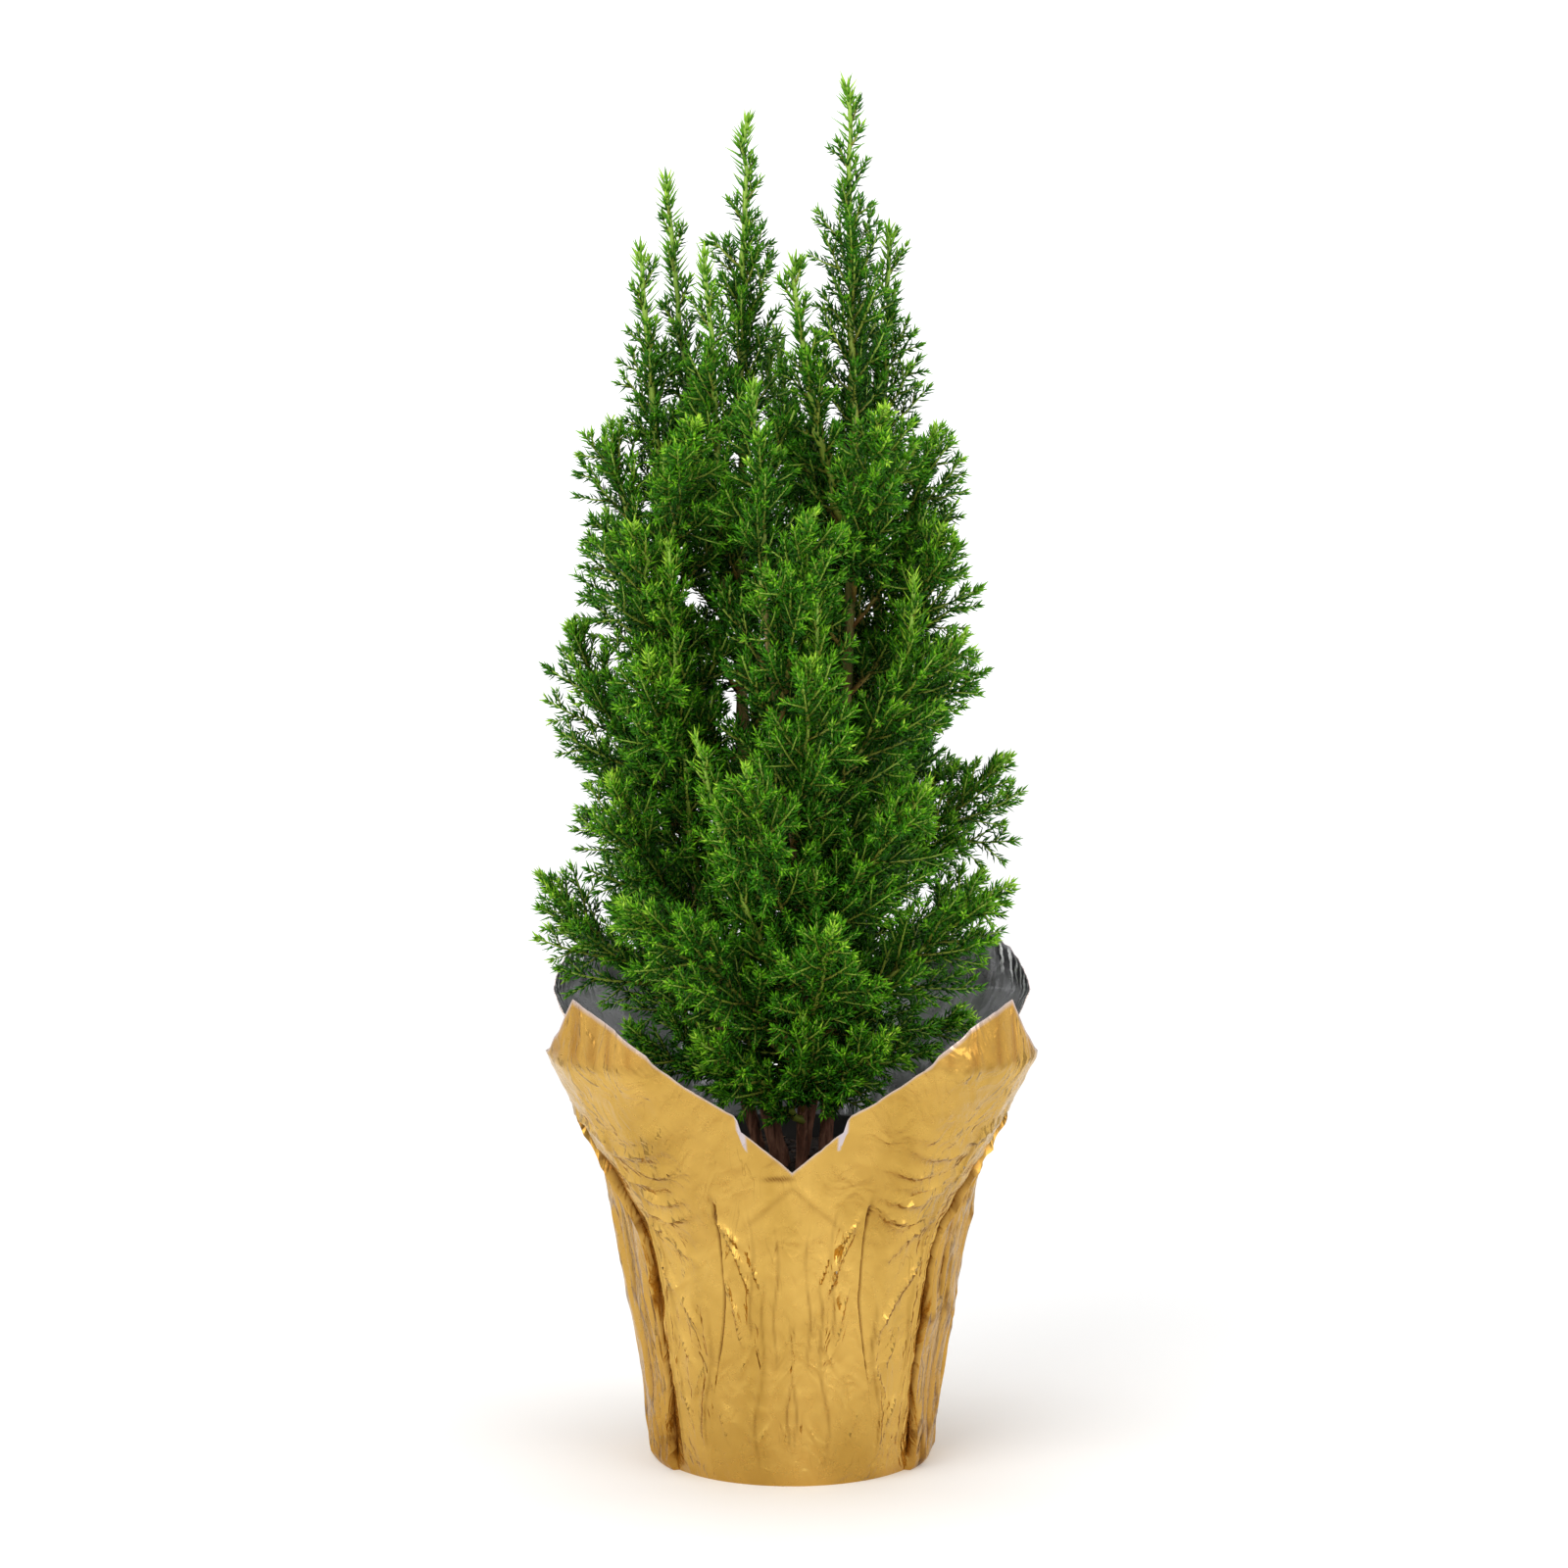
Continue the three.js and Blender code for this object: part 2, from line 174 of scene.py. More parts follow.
# ------------------------------------------------------------------ materials
class Finish:
    """A material whose nodes are added one by one, each giving the socket that the next one reads."""

    def __init__(self, name):
        self.material = bpy.data.materials.new(name)
        self.material.use_nodes = True
        self.nodes, self.links = self.material.node_tree.nodes, self.material.node_tree.links

    def put(self, node, values):
        """Fills a node's inputs; each value is a socket, a number or a colour."""
        for place, value in values.items():
            entry = node.inputs[place]
            if isinstance(value, bpy.types.NodeSocket):
                self.links.new(value, entry)
            else:
                entry.default_value = (*value, 1.0) if entry.type == "RGBA" else value

    def node(self, kind, output, values, **settings):
        """Adds a node with these settings and inputs, and gives its output socket."""
        node = self.nodes.new("ShaderNode" + kind)
        for setting, choice in settings.items():
            setattr(node, setting, choice)
        self.put(node, values)
        return node.outputs[output]

    def where(self):
        return self.node("TexCoord", "Object", {})

    def attribute(self, name):
        return self.node("Attribute", "Fac", {}, attribute_name=name)

    def part_of(self, vector, axis):
        return self.node("SeparateXYZ", axis, {"Vector": vector})

    def leaf_map(self, axis):
        return self.part_of(self.node("UVMap", "UV", {}, uv_map="leaf_map"), axis)

    def maths(self, operation, *values):
        return self.node("Math", "Value", dict(enumerate(values)), operation=operation)

    def map_range(self, value, **ends):
        """Maps value from one range to another; ends are from_min, from_max, to_min and to_max."""
        values = {end.replace("_", " ").title(): number for end, number in ends.items()}
        return self.node("MapRange", "Result", {"Value": value, **values})

    def noise(self, where, scale, detail=4.0, roughness=0.55, distortion=0.0, stretch=None):
        if stretch:
            where = self.node("Mapping", "Vector", {"Scale": stretch, "Vector": where})
        values = {"Scale": scale, "Detail": detail, "Roughness": roughness, "Distortion": distortion}
        return self.node("TexNoise", "Fac", {**values, "Vector": where})

    def ramp(self, place, stops):
        """A colour ramp with [place, tone] stops; a tone is a colour or one number for a grey."""
        node = self.nodes.new("ShaderNodeValToRGB")
        elements = node.color_ramp.elements
        while len(elements) < len(stops):
            elements.new(0.5)
        for element, (at, tone) in zip(elements, stops):
            element.position = at
            element.color = (*((tone,) * 3 if np.isscalar(tone) else tone), 1.0)
        self.put(node, {"Fac": place})
        return node.outputs["Color"]

    def mix(self, factor, first, second, blend="MIX"):
        return self.node("Mix", 2, {0: factor, 6: first, 7: second}, data_type="RGBA", blend_type=blend)

    def bump(self, height, strength, distance, base=None):
        under = {"Normal": base} if base else {}
        values = {"Strength": strength, "Distance": distance, "Height": height}
        return self.node("Bump", "Normal", {**values, **under})

    def made(self, values):
        """Fills the shader's own inputs and gives the material."""
        self.put(self.nodes["Principled BSDF"], values)
        return self.material


GOLD_FILM = {
    "face": (0.615, 0.38, 0.090),
    "shade": (0.50, 0.30, 0.062),
    "metal": 1.0,
    "glint": 0.5,
    "roughness": 0.25,
    "ridge": (0.54, 0.29, 0.055),
    "valley": (0.26, 0.11, 0.018),
    "crimped": False,
}
# The silver is painted a darker grey than bright metallised film, standing in for the dim inside of the cover
# that it reflects.
SILVER_FILM = {
    "face": (0.29, 0.29, 0.30),
    "shade": (0.19, 0.19, 0.20),
    "metal": 0.4,
    "glint": 0.2,
    "roughness": 0.27,
    "ridge": (1.0, 1.0, 1.0),
    "valley": (0.012, 0.012, 0.014),
    "crimped": True,
}
CRIMPS = 150.0  # radians of stripe in a radian round the pot


def crimp_reflection_stripes(finish, where):
    """Fine stripes that run outwards from the pot's axis, as in film that was crimped along its edge; they
    set where the crimps take their painted white reflection and their painted near-black shade.
    """
    turn = finish.maths("ARCTAN2", finish.part_of(where, "Y"), finish.part_of(where, "X"))
    shift = finish.maths("MULTIPLY", finish.noise(where, 110, 3, 0.6), 11.0)
    wave = finish.maths("SINE", finish.maths("MULTIPLY_ADD", turn, CRIMPS, shift))
    return finish.map_range(wave, from_min=-0.75, from_max=-0.2)


def foil_material(name, face, shade, metal, glint, roughness, ridge, valley, crimped):
    """Crumpled metallised film, with painted shade darkening its folds, creases and wrinkles, and a pale line
    along its edge;
    ridge and valley are the tones painted on its pleats, or on the crimped edge where crimped is true: the
    valley tone is painted shade, and the silver's white ridge tone a painted reflection."""
    finish = Finish(name)
    where = finish.where()
    tone = finish.ramp(finish.noise(where, 42, 3, 0.5, 0.5, (1, 1, 0.3)), [[0.36, shade], [0.6, face]])
    # The painted reflection tone, darker than the face, for the parts that reflect the dimmer surroundings.
    reflection_tone = tuple(c * k for c, k in zip(face, (0.7, 0.7, 0.7) if crimped else (0.50, 0.36, 0.28)))
    # The painted shade tone that stands in for the shade in the film's creases and wrinkles.
    painted_shade = tuple(c * k for c, k in zip(shade, (0.9, 0.9, 0.9) if crimped else (0.3, 0.19, 0.16)))
    reflection_shaded = finish.mix(finish.attribute("warmth"), tone, reflection_tone)
    # Painted shade in hairline wrinkles here and there, mostly upright.
    streaks = finish.noise(where, 120, 2, 0.45, 0.7, (1, 1, 0.2))
    line = finish.ramp(streaks, [[0.490, 0], [0.503, 1], [0.507, 0]])
    here_and_there = finish.ramp(finish.noise(where, 55, 2, 0.5), [[0.52, 0], [0.66, 0.4]])
    hairline_shaded = finish.mix(finish.mix(1.0, line, here_and_there, "MULTIPLY"), reflection_shaded, painted_shade)
    stripe = crimp_reflection_stripes(finish, where) if crimped else finish.attribute("stripe")
    # Painted light on the pleats: the valley tone is painted shade in their hollows; on the silver the white
    # ridge tone is a painted reflection.
    pleat_light_and_shade = finish.mix(stripe, ridge, valley)
    pleated = finish.mix(finish.attribute("crimped" if crimped else "pleated"), hairline_shaded, pleat_light_and_shade)
    # Painted shade along the sheet's creases, folds and the slit at the notch.
    crease_shaded = finish.mix(finish.attribute("crease"), pleated, painted_shade)
    edged = finish.mix(finish.attribute("hem"), crease_shaded, (0.56, 0.52, 0.58))
    wear = finish.noise(where, 260, 3, 0.6)
    rough = finish.map_range(wear, to_min=roughness - 0.07, to_max=roughness + 0.09)
    crumple = finish.noise(where, 85, 3, 0.5, 1.0, (1, 1, 0.45))
    folded = finish.bump(finish.ramp(crumple, [[0.3, 0], [0.5, 1], [0.7, 0]]), glint, 0.0013)
    normal = finish.bump(finish.noise(where, 620, 3, 0.55, 0.4), 0.2, 0.0002, folded)
    return finish.made({"Base Color": edged, "Metallic": metal, "Roughness": rough, "Normal": normal})


def needle_material():
    """Fresh green at a twig's end and at a needle's point, deep green where the foliage is old; the darkest
    tones also stand for painted shade deep in the crown.
    """
    finish = Finish("cypress needles")
    # The low end of this tone is partly older foliage and partly painted shade inside the crown.
    age = finish.ramp(
        finish.leaf_map("X"),
        [
            [0.0, (0.004, 0.024, 0.001)],
            [0.3, (0.011, 0.078, 0.001)],
            [0.6, (0.036, 0.185, 0.001)],
            [0.85, (0.150, 0.400, 0.008)],
            [1.0, (0.40, 0.66, 0.055)],
        ],
    )
    # The needle's upper side is the lower band of the map; its greyer underside lies above it.
    along = finish.ramp(
        finish.leaf_map("Y"),
        [
            [0.0, (0.8, 0.86, 0.6)],
            [0.12, 1],
            [0.33, (1.25, 1.15, 0.9)],
            [0.37, (0.5, 0.58, 0.85)],
            [0.68, (0.75, 0.8, 0.85)],
        ],
    )
    colour = finish.mix(1.0, age, along, "MULTIPLY")
    return finish.made({"Base Color": colour, "Roughness": 0.4, "Specular IOR Level": 0.15})


def twig_material():
    """Yellow-green young bark that turns orange-brown with age."""
    finish = Finish("green shoot bark")
    age = finish.ramp(
        finish.leaf_map("X"),
        [
            [0.0, (0.085, 0.032, 0.012)],
            [0.22, (0.23, 0.09, 0.022)],
            [0.42, (0.24, 0.22, 0.028)],
            [0.75, (0.25, 0.40, 0.035)],
            [1.0, (0.28, 0.48, 0.05)],
        ],
    )
    return finish.made({"Base Color": age, "Roughness": 0.55})


def bark_material():
    """Flaky brown bark that turns green up the stem, where the wood is young."""
    finish = Finish("reddish trunk bark")
    where = finish.where()
    strips = finish.noise(where, 420, 5, 0.65, 0.8, (1, 1, 0.12))
    patches = finish.noise(where, 120, 4, 0.6, 0.3, (1, 1, 0.4))
    browns = [[0.36, (0.028, 0.012, 0.007)], [0.5, (0.17, 0.06, 0.028)], [0.64, (0.42, 0.2, 0.12)]]
    tone = finish.ramp(strips, browns)
    worn = finish.mix(finish.ramp(patches, [[0.45, 0], [0.7, 0.7]]), tone, (0.10, 0.036, 0.018))
    young = finish.map_range(finish.part_of(where, "Z"), from_min=0.15, from_max=0.30, to_max=0.8)
    greened = finish.mix(young, worn, (0.15, 0.17, 0.025))
    return finish.made({"Base Color": greened, "Roughness": 0.85, "Normal": finish.bump(strips, 0.9, 0.0008)})


def soil_material():
    finish = Finish("damp potting soil")
    where = finish.where()
    crumbs = finish.noise(where, 520, 6, 0.7, 0.4)
    browns = [[0.35, (0.008, 0.005, 0.0035)], [0.55, (0.03, 0.017, 0.010)], [0.75, (0.085, 0.05, 0.028)]]
    tone = finish.ramp(crumbs, browns)
    damp = finish.mix(finish.noise(where, 90, 3, 0.5), tone, (0.016, 0.009, 0.006))
    return finish.made({"Base Color": damp, "Roughness": 0.9, "Normal": finish.bump(crumbs, 1.0, 0.0012)})


def chip_material():
    """Each crumb takes a tone of its own from the attribute painted on it."""
    finish = Finish("bark chips and grit")
    tone = finish.ramp(
        finish.attribute("tone"),
        [
            [0.0, (0.012, 0.007, 0.004)],
            [0.5, (0.07, 0.032, 0.016)],
            [0.85, (0.2, 0.11, 0.06)],
            [1.0, (0.62, 0.58, 0.5)],
        ],
    )
    shaded = finish.mix(finish.noise(finish.where(), 900, 4, 0.6), tone, (0.02, 0.012, 0.008))
    return finish.made({"Base Color": shaded, "Roughness": 0.85})


def plastic_material():
    finish = Finish("black nursery plastic")
    where = finish.where()
    dust = finish.noise(where, 60, 4, 0.6, 0.3)
    tone = finish.ramp(dust, [[0.35, 0.012], [0.75, (0.035, 0.032, 0.028)]])
    grain = finish.bump(finish.noise(where, 900, 2), 0.2, 0.0002)
    return finish.made({"Base Color": tone, "Roughness": 0.5, "Normal": grain})


# ------------------------------------------------------------------ foil cover
COLUMNS = 440
QUARTER = COLUMNS // 4
BASE_ROWS = 5
WALL_ROWS = 46
SKIRT_ROWS = 50
WALL_LEAN = math.radians(9.9)
RIM_ALONG = RIM_LEVEL / math.cos(WALL_LEAN)
CORNER_START = RIM_ALONG - 0.034
SIDE_START = RIM_ALONG - 0.014
TIP_CREASE = RIM_ALONG + 0.054
# How far the sheet's edge stands past the rim: degrees from the front's middle, and from a side's middle.
FACE_EDGE = (
    (0.0, 8.0, 13.0, 13.9, 18.0, 22.5, 28.0, 34.5, 40.0, 45.0),
    (0.0050, 0.0140, 0.0210, 0.0272, 0.0335, 0.0430, 0.0580, 0.0672, 0.0712, 0.0745),
)
SIDE_EDGE = (
    (0.0, 13.5, 22.5, 30.0, 34.5, 38.0, 41.0, 43.0, 45.0),
    (0.0100, 0.0220, 0.0350, 0.0450, 0.0510, 0.0565, 0.0625, 0.0680, 0.0745),
)
REAR_SIDE_EDGE = ((0.0, 13.5, 22.5, 30.0, 38.0, 45.0), (0.0100, 0.0320, 0.0460, 0.0570, 0.0670, 0.0745))
INNER_FOLD, CORNER, OUTER_FOLD = 33, QUARTER // 2, 72  # columns from the front's middle
# Short curved wrinkles beside the flaps: columns from the middle, metres past the rim, half width in
# columns, half height, tilt in metres a column, and how far each stands out.
WRINKLES = (
    (47, 0.017, 8, 0.0019, -0.00035, 0.0014),
    (43, 0.009, 6, 0.0014, -0.00010, 0.0016),
    (51, 0.004, 6, 0.0016, 0.00045, 0.0013),
    (46, -0.003, 7, 0.0013, 0.00012, 0.0019),
    (45, -0.011, 7, 0.0014, -0.00018, 0.0017),
    (52, -0.017, 5, 0.0012, 0.00080, 0.0011),
    (47, -0.023, 5, 0.0015, 0.00110, 0.0012),
    (54, -0.034, 4, 0.0016, 0.00160, 0.0012),
    (28, -0.016, 5, 0.0014, 0.00120, 0.0017),
    (26, -0.023, 5, 0.0015, 0.00140, 0.0015),
    (22, -0.032, 4, 0.0016, 0.00180, 0.0013),
    (27, -0.043, 4, 0.0016, 0.00200, 0.0012),
    (45, -0.048, 4, 0.0015, 0.00150, 0.0013),
    (60, 0.024, 7, 0.0018, 0.00070, 0.0012),
    (17, -0.030, 3, 0.0011, 0.00210, 0.0012),
    (24, -0.052, 3, 0.0011, 0.00190, 0.0012),
    (19, -0.061, 3, 0.0010, -0.00170, 0.0010),
    (48, -0.060, 3, 0.0011, 0.00200, 0.0012),
    (43, -0.072, 3, 0.0010, -0.00180, 0.0010),
    (50, -0.082, 3, 0.0011, 0.00160, 0.0010),
    (26, -0.086, 3, 0.0010, 0.00200, 0.0010),
    (10, -0.088, 3, 0.0010, -0.00150, 0.0009),
    (40, 0.026, 7, 0.0020, -0.00060, 0.0011),
)
# Long upright creases: columns from the middle, where each starts and ends in metres past the rim.
CREASES = (
    (2, -0.100, -0.045),
    (9, -0.070, -0.010),
    (15, -0.104, -0.030),
    (21, -0.060, -0.004),
    (40, -0.100, -0.040),
    (56, -0.085, 0.030),
    (63, -0.104, -0.010),
)


def lean_at(turned, on_side, along):
    """How far from upright the sheet leans, at degrees from a side's middle and metres up the sheet."""
    corner = smooth_step(turned, 0.0, 34.0 + 11.0 * on_side)
    start = SIDE_START + (CORNER_START - SIDE_START) * corner
    flare = np.radians(5.0 + 18.0 * corner)
    lean = WALL_LEAN + flare * smooth_step(along, start, start + 0.022)
    upright = smooth_step(along, TIP_CREASE - 0.0012, TIP_CREASE + 0.0012)
    return lean * (1 - upright) + math.radians(-6.0) * upright


def press_foil():
    """A sheet is wrapped into a tube, ringed, and pressed against the pot: base, wall and flared skirt."""
    rows = BASE_ROWS + WALL_ROWS + SKIRT_ROWS
    deselect_all()
    bpy.ops.mesh.primitive_cylinder_add(
        vertices=COLUMNS, radius=BASE_RADIUS, depth=1.0, end_fill_type="NOTHING", location=(0, 0, 0.5)
    )
    cover = named("foil_cover_sheet")
    bpy.ops.object.transform_apply(location=True)
    ring_cuts(cover, rows)

    mesh = cover.data
    points = corner_points(mesh)
    turn = np.arctan2(points[:, 1], points[:, 0]) / (2 * np.pi)
    place, folds = fold_sheet(np.round(turn * COLUMNS) % COLUMNS, np.round(points[:, 2] * rows))
    mesh.vertices.foreach_set("co", place.ravel())
    for name, values in folds.items():
        mesh.attributes.new(name, "FLOAT", "POINT").data.foreach_set("value", values.astype(np.float32))
    only(cover)
    edit_all()
    bpy.ops.mesh.remove_doubles(threshold=0.00001)
    close_edit()
    return cover


def ring_cuts(tube, rows):
    """Cuts a one metre tall tube into rows by subdividing its upright edges."""
    only(tube)
    bpy.ops.object.mode_set(mode="EDIT")
    bpy.ops.mesh.select_mode(type="EDGE")
    shape = bmesh.from_edit_mesh(tube.data)
    for edge in shape.edges:
        edge.select_set(abs(edge.verts[0].co.z - edge.verts[1].co.z) > 0.5)
    bmesh.update_edit_mesh(tube.data)
    bpy.ops.mesh.subdivide(number_cuts=rows - 1)
    bpy.ops.object.mode_set(mode="OBJECT")


def fold_sheet(column, row):
    """Where each point of the tube goes, and how much of each fold and finish it carries."""
    signed = (column - 3 * QUARTER + 2 * QUARTER) % COLUMNS - 2 * QUARTER
    count = np.minimum(np.abs(signed), 2 * QUARTER - np.abs(signed))  # columns from the front or back middle
    up = np.clip(row - BASE_ROWS, 0, None)
    on_wall = up <= WALL_ROWS
    wall_along = CORNER_START * np.clip(up / WALL_ROWS, 0, 1)
    skirt_share = np.clip((up - WALL_ROWS) / SKIRT_ROWS, 0, 1)

    # The two folds on each side of a face run along columns, so the columns lean with them.
    inner = 34.0 - 12.5 * smooth_step(wall_along, 0.0, CORNER_START)
    outer = np.interp(wall_along, (0, 0.03, 0.0725), (57.0, 52.0, 51.5))
    outer = outer + np.interp(skirt_share, (0, 0.43, 0.68, 1), (0.0, 2.0, 12.0, 22.0))
    from_face = np.where(
        count < INNER_FOLD,
        count * inner / INNER_FOLD,
        np.where(
            count < CORNER,
            inner + (count - INNER_FOLD) * (45 - inner) / (CORNER - INNER_FOLD),
            np.where(
                count < OUTER_FOLD,
                45 + (count - CORNER) * (outer - 45) / (OUTER_FOLD - CORNER),
                outer + (count - OUTER_FOLD) * (90 - outer) / (QUARTER - OUTER_FOLD),
            ),
        ),
    )
    from_front = np.where(np.abs(signed) <= QUARTER, from_face, 180 - from_face)
    degrees = 270 + np.sign(signed) * from_front
    turn = degrees / 360
    on_side = (from_face > 45) * 1.0
    turned = np.where(on_side > 0, 90 - from_face, from_face)
    side_edge = np.where(from_front > 90, np.interp(turned, *REAR_SIDE_EDGE), np.interp(turned, *SIDE_EDGE))
    edge = RIM_ALONG + np.where(on_side > 0, side_edge, np.interp(turned, *FACE_EDGE))

    gathered = (count > OUTER_FOLD) * 1.0
    zigzag = np.abs((count - OUTER_FOLD) % 6 - 3) / 1.5 - 1
    notched = np.maximum(gathered * (zigzag + 1), (count > CORNER) * (count % 2))
    serration = 0.0008 * notched * (0.4 + Weave(3, 110, 2).at(turn, 0 * turn))
    edge = edge - serration
    along = np.where(on_wall, wall_along, CORNER_START + (edge - CORNER_START) * skirt_share)

    # Follow the sheet up from the base in short strips to find each point's radius and height.
    strips = 90
    radius = np.full(len(row), BASE_RADIUS + 0.0015)
    height = np.zeros(len(row))
    for i in range(strips):
        lean = lean_at(turned, on_side, along * (i + 0.5) / strips)
        radius += np.sin(lean) * along / strips
        height += np.cos(lean) * along / strips
    lean = lean_at(turned, on_side, along)
    share = along / edge
    relief, crease = foil_relief(turn, signed, count, along, gathered, zigzag)

    # The base is flat and its corner is rounded and a little uneven.
    on_base = row < BASE_ROWS
    rounding = np.exp(-along / 0.0012) * 0.0007
    radius = np.where(on_base, radius * row / BASE_ROWS * 0.985, radius - rounding + relief * np.cos(lean))
    wobble = 0.0009 * Weave(11, 46, 1).at(turn, 0 * turn) * np.exp(-along / 0.004) * (row > BASE_ROWS)
    height = np.where(on_base, 0.0, np.maximum(height - relief * np.sin(lean), 0.0) + wobble)

    angle = np.radians(degrees)
    place = np.column_stack([radius * np.cos(angle), radius * np.sin(angle), height])
    # Painted reflection: soft orange-brown stripes on the upright flap tips above the fold, and a darker tone
    # on the gathered sides, where the film reflects the dimmer surroundings.
    stripes = 0.5 + 0.5 * np.sin(1.5 * count + 4.0 * Weave(21, 30, 2).at(turn, share))
    upper = smooth_step(along, TIP_CREASE - 0.0006, TIP_CREASE + 0.0010)
    tipped = 0.36 + 0.45 * smooth_step(stripes, 0.5, 1.0) * (1 - 0.5 * smooth_step(share, 0.92, 1.0))
    warmth = np.clip(upper * tipped + 0.5 * gathered * Weave(22, 60, 5).at(turn, share), 0, 1)
    hem = (1 - smooth_step(edge - along, 0.0003, 0.0011)) * (1 - gathered) * 0.7
    step = (count >= 19) * (count <= 21) * (edge - along < 0.0055) * (from_front < 90)
    hem = np.maximum(hem, 0.85 * step)
    # Which hollows of the pleats take the painted valley shade.
    stripe = smooth_step(-zigzag * (0.4 + 1.1 * Weave(24, 110, 9).at(turn, share)), -0.1, 0.9)
    # Where the silver side takes its crimp stripes of painted reflection and painted shade.
    crimped = smooth_step(along, edge - 0.013, edge - 0.007) * (count > CORNER)
    crimped = np.maximum(crimped, 0.3 * gathered)
    folds = {"crease": crease, "warmth": warmth, "hem": hem, "pleated": 0.35 * gathered}
    return place, {**folds, "stripe": stripe, "crimped": crimped}


def foil_relief(turn, signed, count, along, gathered, zigzag):
    """How far the film stands out from the pressed form, in metres, and how much painted shade darkens its
    creases.
    """
    height = np.clip(along / 0.18, 0, 1)
    past = along - RIM_ALONG
    free = smooth_step(along, 0.0, 0.010 - 0.007 * gathered)

    def net(seed, around, up):
        return Weave(seed, around, up).at(turn, height)

    # Fine pleats down the gathered sides.
    depth = 0.0005 + 0.0006 * smooth_step(along, CORNER_START * 0.5, RIM_ALONG + 0.03)
    relief = gathered * 0.0020 * np.exp(-along / 0.014)
    relief += gathered * free * zigzag * depth * (0.1 + 1.0 * net(31, 110, 9))
    folds, slant = Weave(35, 76, 5), turn + 0.016 * height
    long_folds = folds.ridge(slant, height)
    relief += gathered * free * 0.0015 * (long_folds**2 - 0.35)
    # Painted shade in the pleats' hollows and at the foot of the long folds.
    painted_shade = 0.4 * gathered * (zigzag < -0.5) * smooth_step(net(32, 90, 16), 0.45, 0.8)
    foot = folds.ridge(slant + 0.0028, height)
    painted_shade += 0.6 * gathered * smooth_step(foot, 0.88, 0.98)

    # The gathered side lies over the smooth face, and the face's middle panel over its outer one.
    relief -= free * 0.0010 * np.exp(-(OUTER_FOLD - count) / 3.0) * (count <= OUTER_FOLD)
    relief += free * 0.0014 * np.exp(-(count - OUTER_FOLD - 1) / 4.0) * (count > OUTER_FOLD)
    # Painted shade along the lines where one panel lies over the next.
    painted_shade += free * ((count == OUTER_FOLD) + 0.3 * (count == OUTER_FOLD - 1))
    low = free * (1 - smooth_step(past, -0.013, 0.001)) * (0.6 + 0.7 * net(33, 8, 14))
    relief += low * 0.0015 * np.exp(-(INNER_FOLD - count) / 5.0) * (count <= INNER_FOLD)
    relief -= low * 0.0008 * np.exp(-(count - INNER_FOLD - 1) / 3.0) * (count > INNER_FOLD)
    painted_shade += low * 1.0 * (count == INNER_FOLD + 1)

    # Long creases, the two that fall away from the notch, and the short curved wrinkles by the flaps, each
    # with painted shade along its hollow.
    for place, low_end, high_end in CREASES:
        begun = smooth_step(past, low_end, low_end + 0.012)
        stretch = begun * (1 - smooth_step(past, high_end - 0.012, high_end))
        wander = count - place - 1.2 * np.sin(past * 160 + place)
        relief += 0.0007 * stretch * hump(wander, 1.2)
        painted_shade += 0.4 * stretch * hump(wander + 1.3, 0.6) * (0.4 + net(36, 30, 22))
    fall = past - 0.0012 + 0.00062 * count
    near_notch = 1 - smooth_step(count, 18, 27)
    relief += 0.0007 * hump(fall, 0.0016) * near_notch
    painted_shade += 0.2 * hump(fall + 0.0022, 0.0009) * near_notch
    # Painted shade along the fold across the flaps.
    painted_shade += 0.45 * hump(along - TIP_CREASE + 0.0006, 0.0007) * (1 - gathered)
    for place, above, wide, tall, tilt, stand in WRINKLES:
        off = count - place + 1.5 * np.sign(signed)
        curve = past - above - tilt * off - 0.00004 * off * off
        lens = hump(off, wide)
        relief += 1.35 * stand * lens * hump(curve, tall)
        painted_shade += 0.12 * lens * hump(curve + 1.5 * tall, 0.7 * tall)
    # Painted shade in the open slit at the notch.
    slit = np.exp(-(((past - 0.0028) / 0.0007) ** 2) - ((signed + 6) / 6.5) ** 4)
    painted_shade += slit

    # Soft unevenness and small crumples everywhere.
    smooth_face = 1 - gathered
    relief += smooth_face * free * 0.0006 * (Weave(41, 52, 4).ridge(turn + 0.012 * height, height) ** 3 - 0.3)
    crumple = Weave(42, 72, 30).ridge(turn, height) ** 2 - 0.35
    relief += smooth_face * free * 0.00050 * crumple
    relief += free * 0.00012 * (Weave(43, 200, 52).ridge(turn, height) ** 2 - 0.3)
    return relief, np.clip(painted_shade, 0, 1)


def make_foil_cover():
    cover = press_foil()
    cover.data.materials.append(foil_material("gold foil", **GOLD_FILM))
    cover.data.materials.append(foil_material("silver foil", **SILVER_FILM))
    wall = cover.modifiers.new("film", "SOLIDIFY")
    wall.thickness = FILM_THICKNESS
    wall.offset = -1
    wall.material_offset = 1
    wall.material_offset_rim = 0
    only(cover)
    bpy.ops.object.modifier_apply(modifier="film")
    bpy.ops.object.shade_smooth_by_angle(angle=math.radians(40))
    put_in_frame(cover, "gold_foil", "foil_cover")


